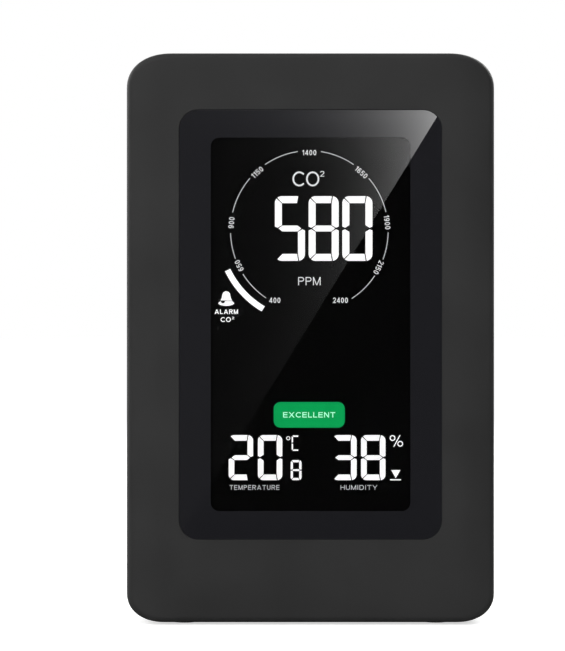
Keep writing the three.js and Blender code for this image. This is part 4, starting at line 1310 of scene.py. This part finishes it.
# Each CAD node that keeps its shape but gets rounded edges: new name, node, edge radius, look.
SOFTENED = [
    ("socket_shell", "usb_socket", 0.1, "socket_steel"),
    ("socket_tongue", "usb_tongue", 0.1, "black_plastic"),
    ("switch_case", "power_switch_body", 0.12, "socket_steel"),
    ("switch_knob", "power_switch_knob", 0.14, "knob"),
    ("controller_chip", "main_controller", 0.08, "chip"),
    ("buzzer_can", "piezo_buzzer", 0.25, "black_plastic"),
    ("sensor_chamber", "co2_module_chamber", 0.3, "gold_plate"),
    ("sensor_membrane", "co2_module_membrane", 0.12, "membrane"),
    ("sensor_board", "co2_module_board", 0.12, "board"),
    ("plug_socket", "battery_socket", 0.15, "white_plastic"),
    ("lead_plug", "battery_plug", 0.25, "white_plastic"),
    ("circuit_board", "main_board", 0.15, "board"),
    ("key_circuit_board", "key_board", 0.15, "board"),
    ("power_circuit_board", "power_board", 0.15, "board"),
    ("climate_circuit_board", "climate_sensor_board", 0.12, "board"),
    ("climate_chip", "climate_sensor", 0.1, "chip"),
    ("cradle", "battery_cradle", 0.3, "black_plastic"),
    ("dust_filter", "vent_filter", 0.3, "filter_foam"),
    ("display_frame", "lcd_frame", 0.2, "black_plastic"),
]
for i in range(1, 5):
    SOFTENED.append((f"switch_box_{i}", f"key_switch_{i}", 0.15, "chip"))
for name, node, width, look in SOFTENED:
    body = "switch_slider" if name == "switch_knob" else ROOT
    add_piece(name, softened(node, width), look, body=body, replaced=[node])

# ---- carried-over nodes ----
for entry in frame["record"]["subparts"]:
    node = frame["nodes"][entry["node"]]
    node.data.materials.clear()
    node.data.materials.append(looks[entry["material_slot"]])

# ---- stage and light ----


def stage_plane(name, side, location, tilt, material):
    """A square of the stage, turned about x by its tilt."""
    mesh = bpy.data.meshes.new(name)
    w = side / 2
    mesh.from_pydata([(-w, -w, 0), (w, -w, 0), (w, w, 0), (-w, w, 0)], [], [(0, 1, 2, 3)])
    mesh.materials.append(material)
    plane = placed(name, mesh)
    plane.location = location
    plane.rotation_euler.x = tilt
    return plane


def hide_from(thing, *rays):
    for kind in rays:
        setattr(thing, f"visible_{kind}", False)


def floor_material():
    """A matt white floor with a light of its own that only the camera sees."""
    m = Nodes("floor")
    m.set(Base_Color=(0.96, 0.96, 0.96, 1), Roughness=0.9, Specular_IOR_Level=0.0)
    m.set(Emission_Color=(1, 1, 1, 1))
    seen = m.add("ShaderNodeLightPath").outputs["Is Camera Ray"]
    m.link(m.maths(seen, 0.62), m.shader.inputs["Emission Strength"])
    return m.material


floor = stage_plane("floor", 40, (0, 0, -0.02 * MM), 0, floor_material())
hide_from(floor, "glossy", "transmission")


def glare_material(corner, slope, strength, haze, fade_across, fade_down):
    """A card that is bright by its slanted edge and fades away from it and downwards.

    Places and distances are in metres in the card's own plane.
    """
    m = Nodes("glare")
    m.tree.nodes.remove(m.shader)
    split = m.add("ShaderNodeSeparateXYZ")
    m.link(m.place, split.inputs[0])
    x, z = split.outputs["X"], split.outputs["Y"]
    drop = m.maths(m.maths(corner[1], z, "SUBTRACT"), 0.0, "MAXIMUM")
    edge = m.maths(m.maths(drop, -1 / slope), corner[0], "ADD")
    inside = m.maths(edge, x, "SUBTRACT")
    rate = m.spread(drop, 0, fade_down, -1 / fade_across[0], -1 / fade_across[1])
    power = m.maths(m.maths(inside, rate), m.maths(drop, -1 / fade_down), "ADD")
    value = m.maths(math.e, power, "POWER")
    lit_side = m.maths(inside, 0.0, "GREATER_THAN")
    emission = m.add("ShaderNodeEmission")
    glow = m.maths(m.maths(value, strength), haze, "ADD")
    m.link(m.maths(glow, lit_side), emission.inputs["Strength"])
    m.link(emission.outputs[0], m.tree.nodes["Material Output"].inputs["Surface"])
    return m.material


GLARE_BACK = 0.25
camera_x, camera_y, camera_z = camera.location
mirror = ((camera_y - GLARE_BACK) - FRONT * MM) / (camera_y - FRONT * MM) + 1


def on_card(x, z):
    """Where on the card a point of the window sends the camera's view, in the card's own plane."""
    return ((x * MM - camera_x) * mirror, (z * MM - camera_z) * mirror)


# The bright edge runs from near the window's upper right corner down to the left.
corner = on_card(32.9, 132.3)
foot_of_edge = on_card(-15.8, 53.0)
slope = (corner[1] - foot_of_edge[1]) / (corner[0] - foot_of_edge[0])
card_look = glare_material(corner, slope, 6.0, 0.035, (0.027, 0.0185), 0.033)
card_place = (camera_x, camera_y - GLARE_BACK, camera_z)
glare = stage_plane("glare_card", 1.2, card_place, math.pi / 2, card_look)
hide_from(glare, "camera", "diffuse", "shadow", "volume_scatter")


def area_light(name, location, target, size, power, glossy=True):
    data = bpy.data.lights.new(name, "AREA")
    data.shape = "RECTANGLE"
    data.size, data.size_y = size
    data.energy = power
    light = placed(name, data)
    light.location = location
    light.rotation_euler = (Vector(target) - Vector(location)).to_track_quat("-Z", "Y").to_euler()
    light.visible_glossy = glossy


TARGET = (0, 0, 0.075)
area_light("front_high", (-0.58, -1.13, 0.5), TARGET, (0.8, 0.8), 7.5, glossy=False)
area_light("front_low", (-0.3, -1.2, 0.1), (0, 0, 0.02), (0.8, 0.15), 1, glossy=False)
area_light("key", (-0.9, -0.75, 0.75), TARGET, (0.7, 0.7), 2)
area_light("fill", (0.9, -0.9, 0.35), TARGET, (0.8, 0.8), 0.4)
area_light("rear_key", (0.8, 1.0, 0.8), TARGET, (0.8, 0.8), 13)
area_light("rear_fill", (-1.0, 0.7, 0.4), TARGET, (0.7, 0.7), 5)

sun_data = bpy.data.lights.new("overhead", "SUN")
sun_data.energy = 0.9
sun_data.angle = math.radians(120)
placed("overhead", sun_data)


def make_world():
    """White where the camera looks, a dimmer even surround for everything that it lights."""
    world = bpy.data.worlds.new("studio")
    world.use_nodes = True
    bpy.context.scene.world = world
    tree = world.node_tree
    tree.nodes.clear()
    rays = tree.nodes.new("ShaderNodeLightPath")
    output = tree.nodes.new("ShaderNodeOutputWorld")

    def background(strength):
        node = tree.nodes.new("ShaderNodeBackground")
        node.inputs["Color"].default_value = (1, 1, 1, 1)
        node.inputs["Strength"].default_value = strength
        return node.outputs[0]

    def choose(factor, first, second):
        node = tree.nodes.new("ShaderNodeMixShader")
        tree.links.new(factor, node.inputs[0])
        tree.links.new(first, node.inputs[1])
        tree.links.new(second, node.inputs[2])
        return node.outputs[0]

    surround = choose(rays.outputs["Is Diffuse Ray"], background(0.05), background(0.13))
    seen = choose(rays.outputs["Is Camera Ray"], surround, background(1.0))
    tree.links.new(seen, output.inputs["Surface"])


make_world()
bpy.context.scene.view_settings.view_transform = "Standard"
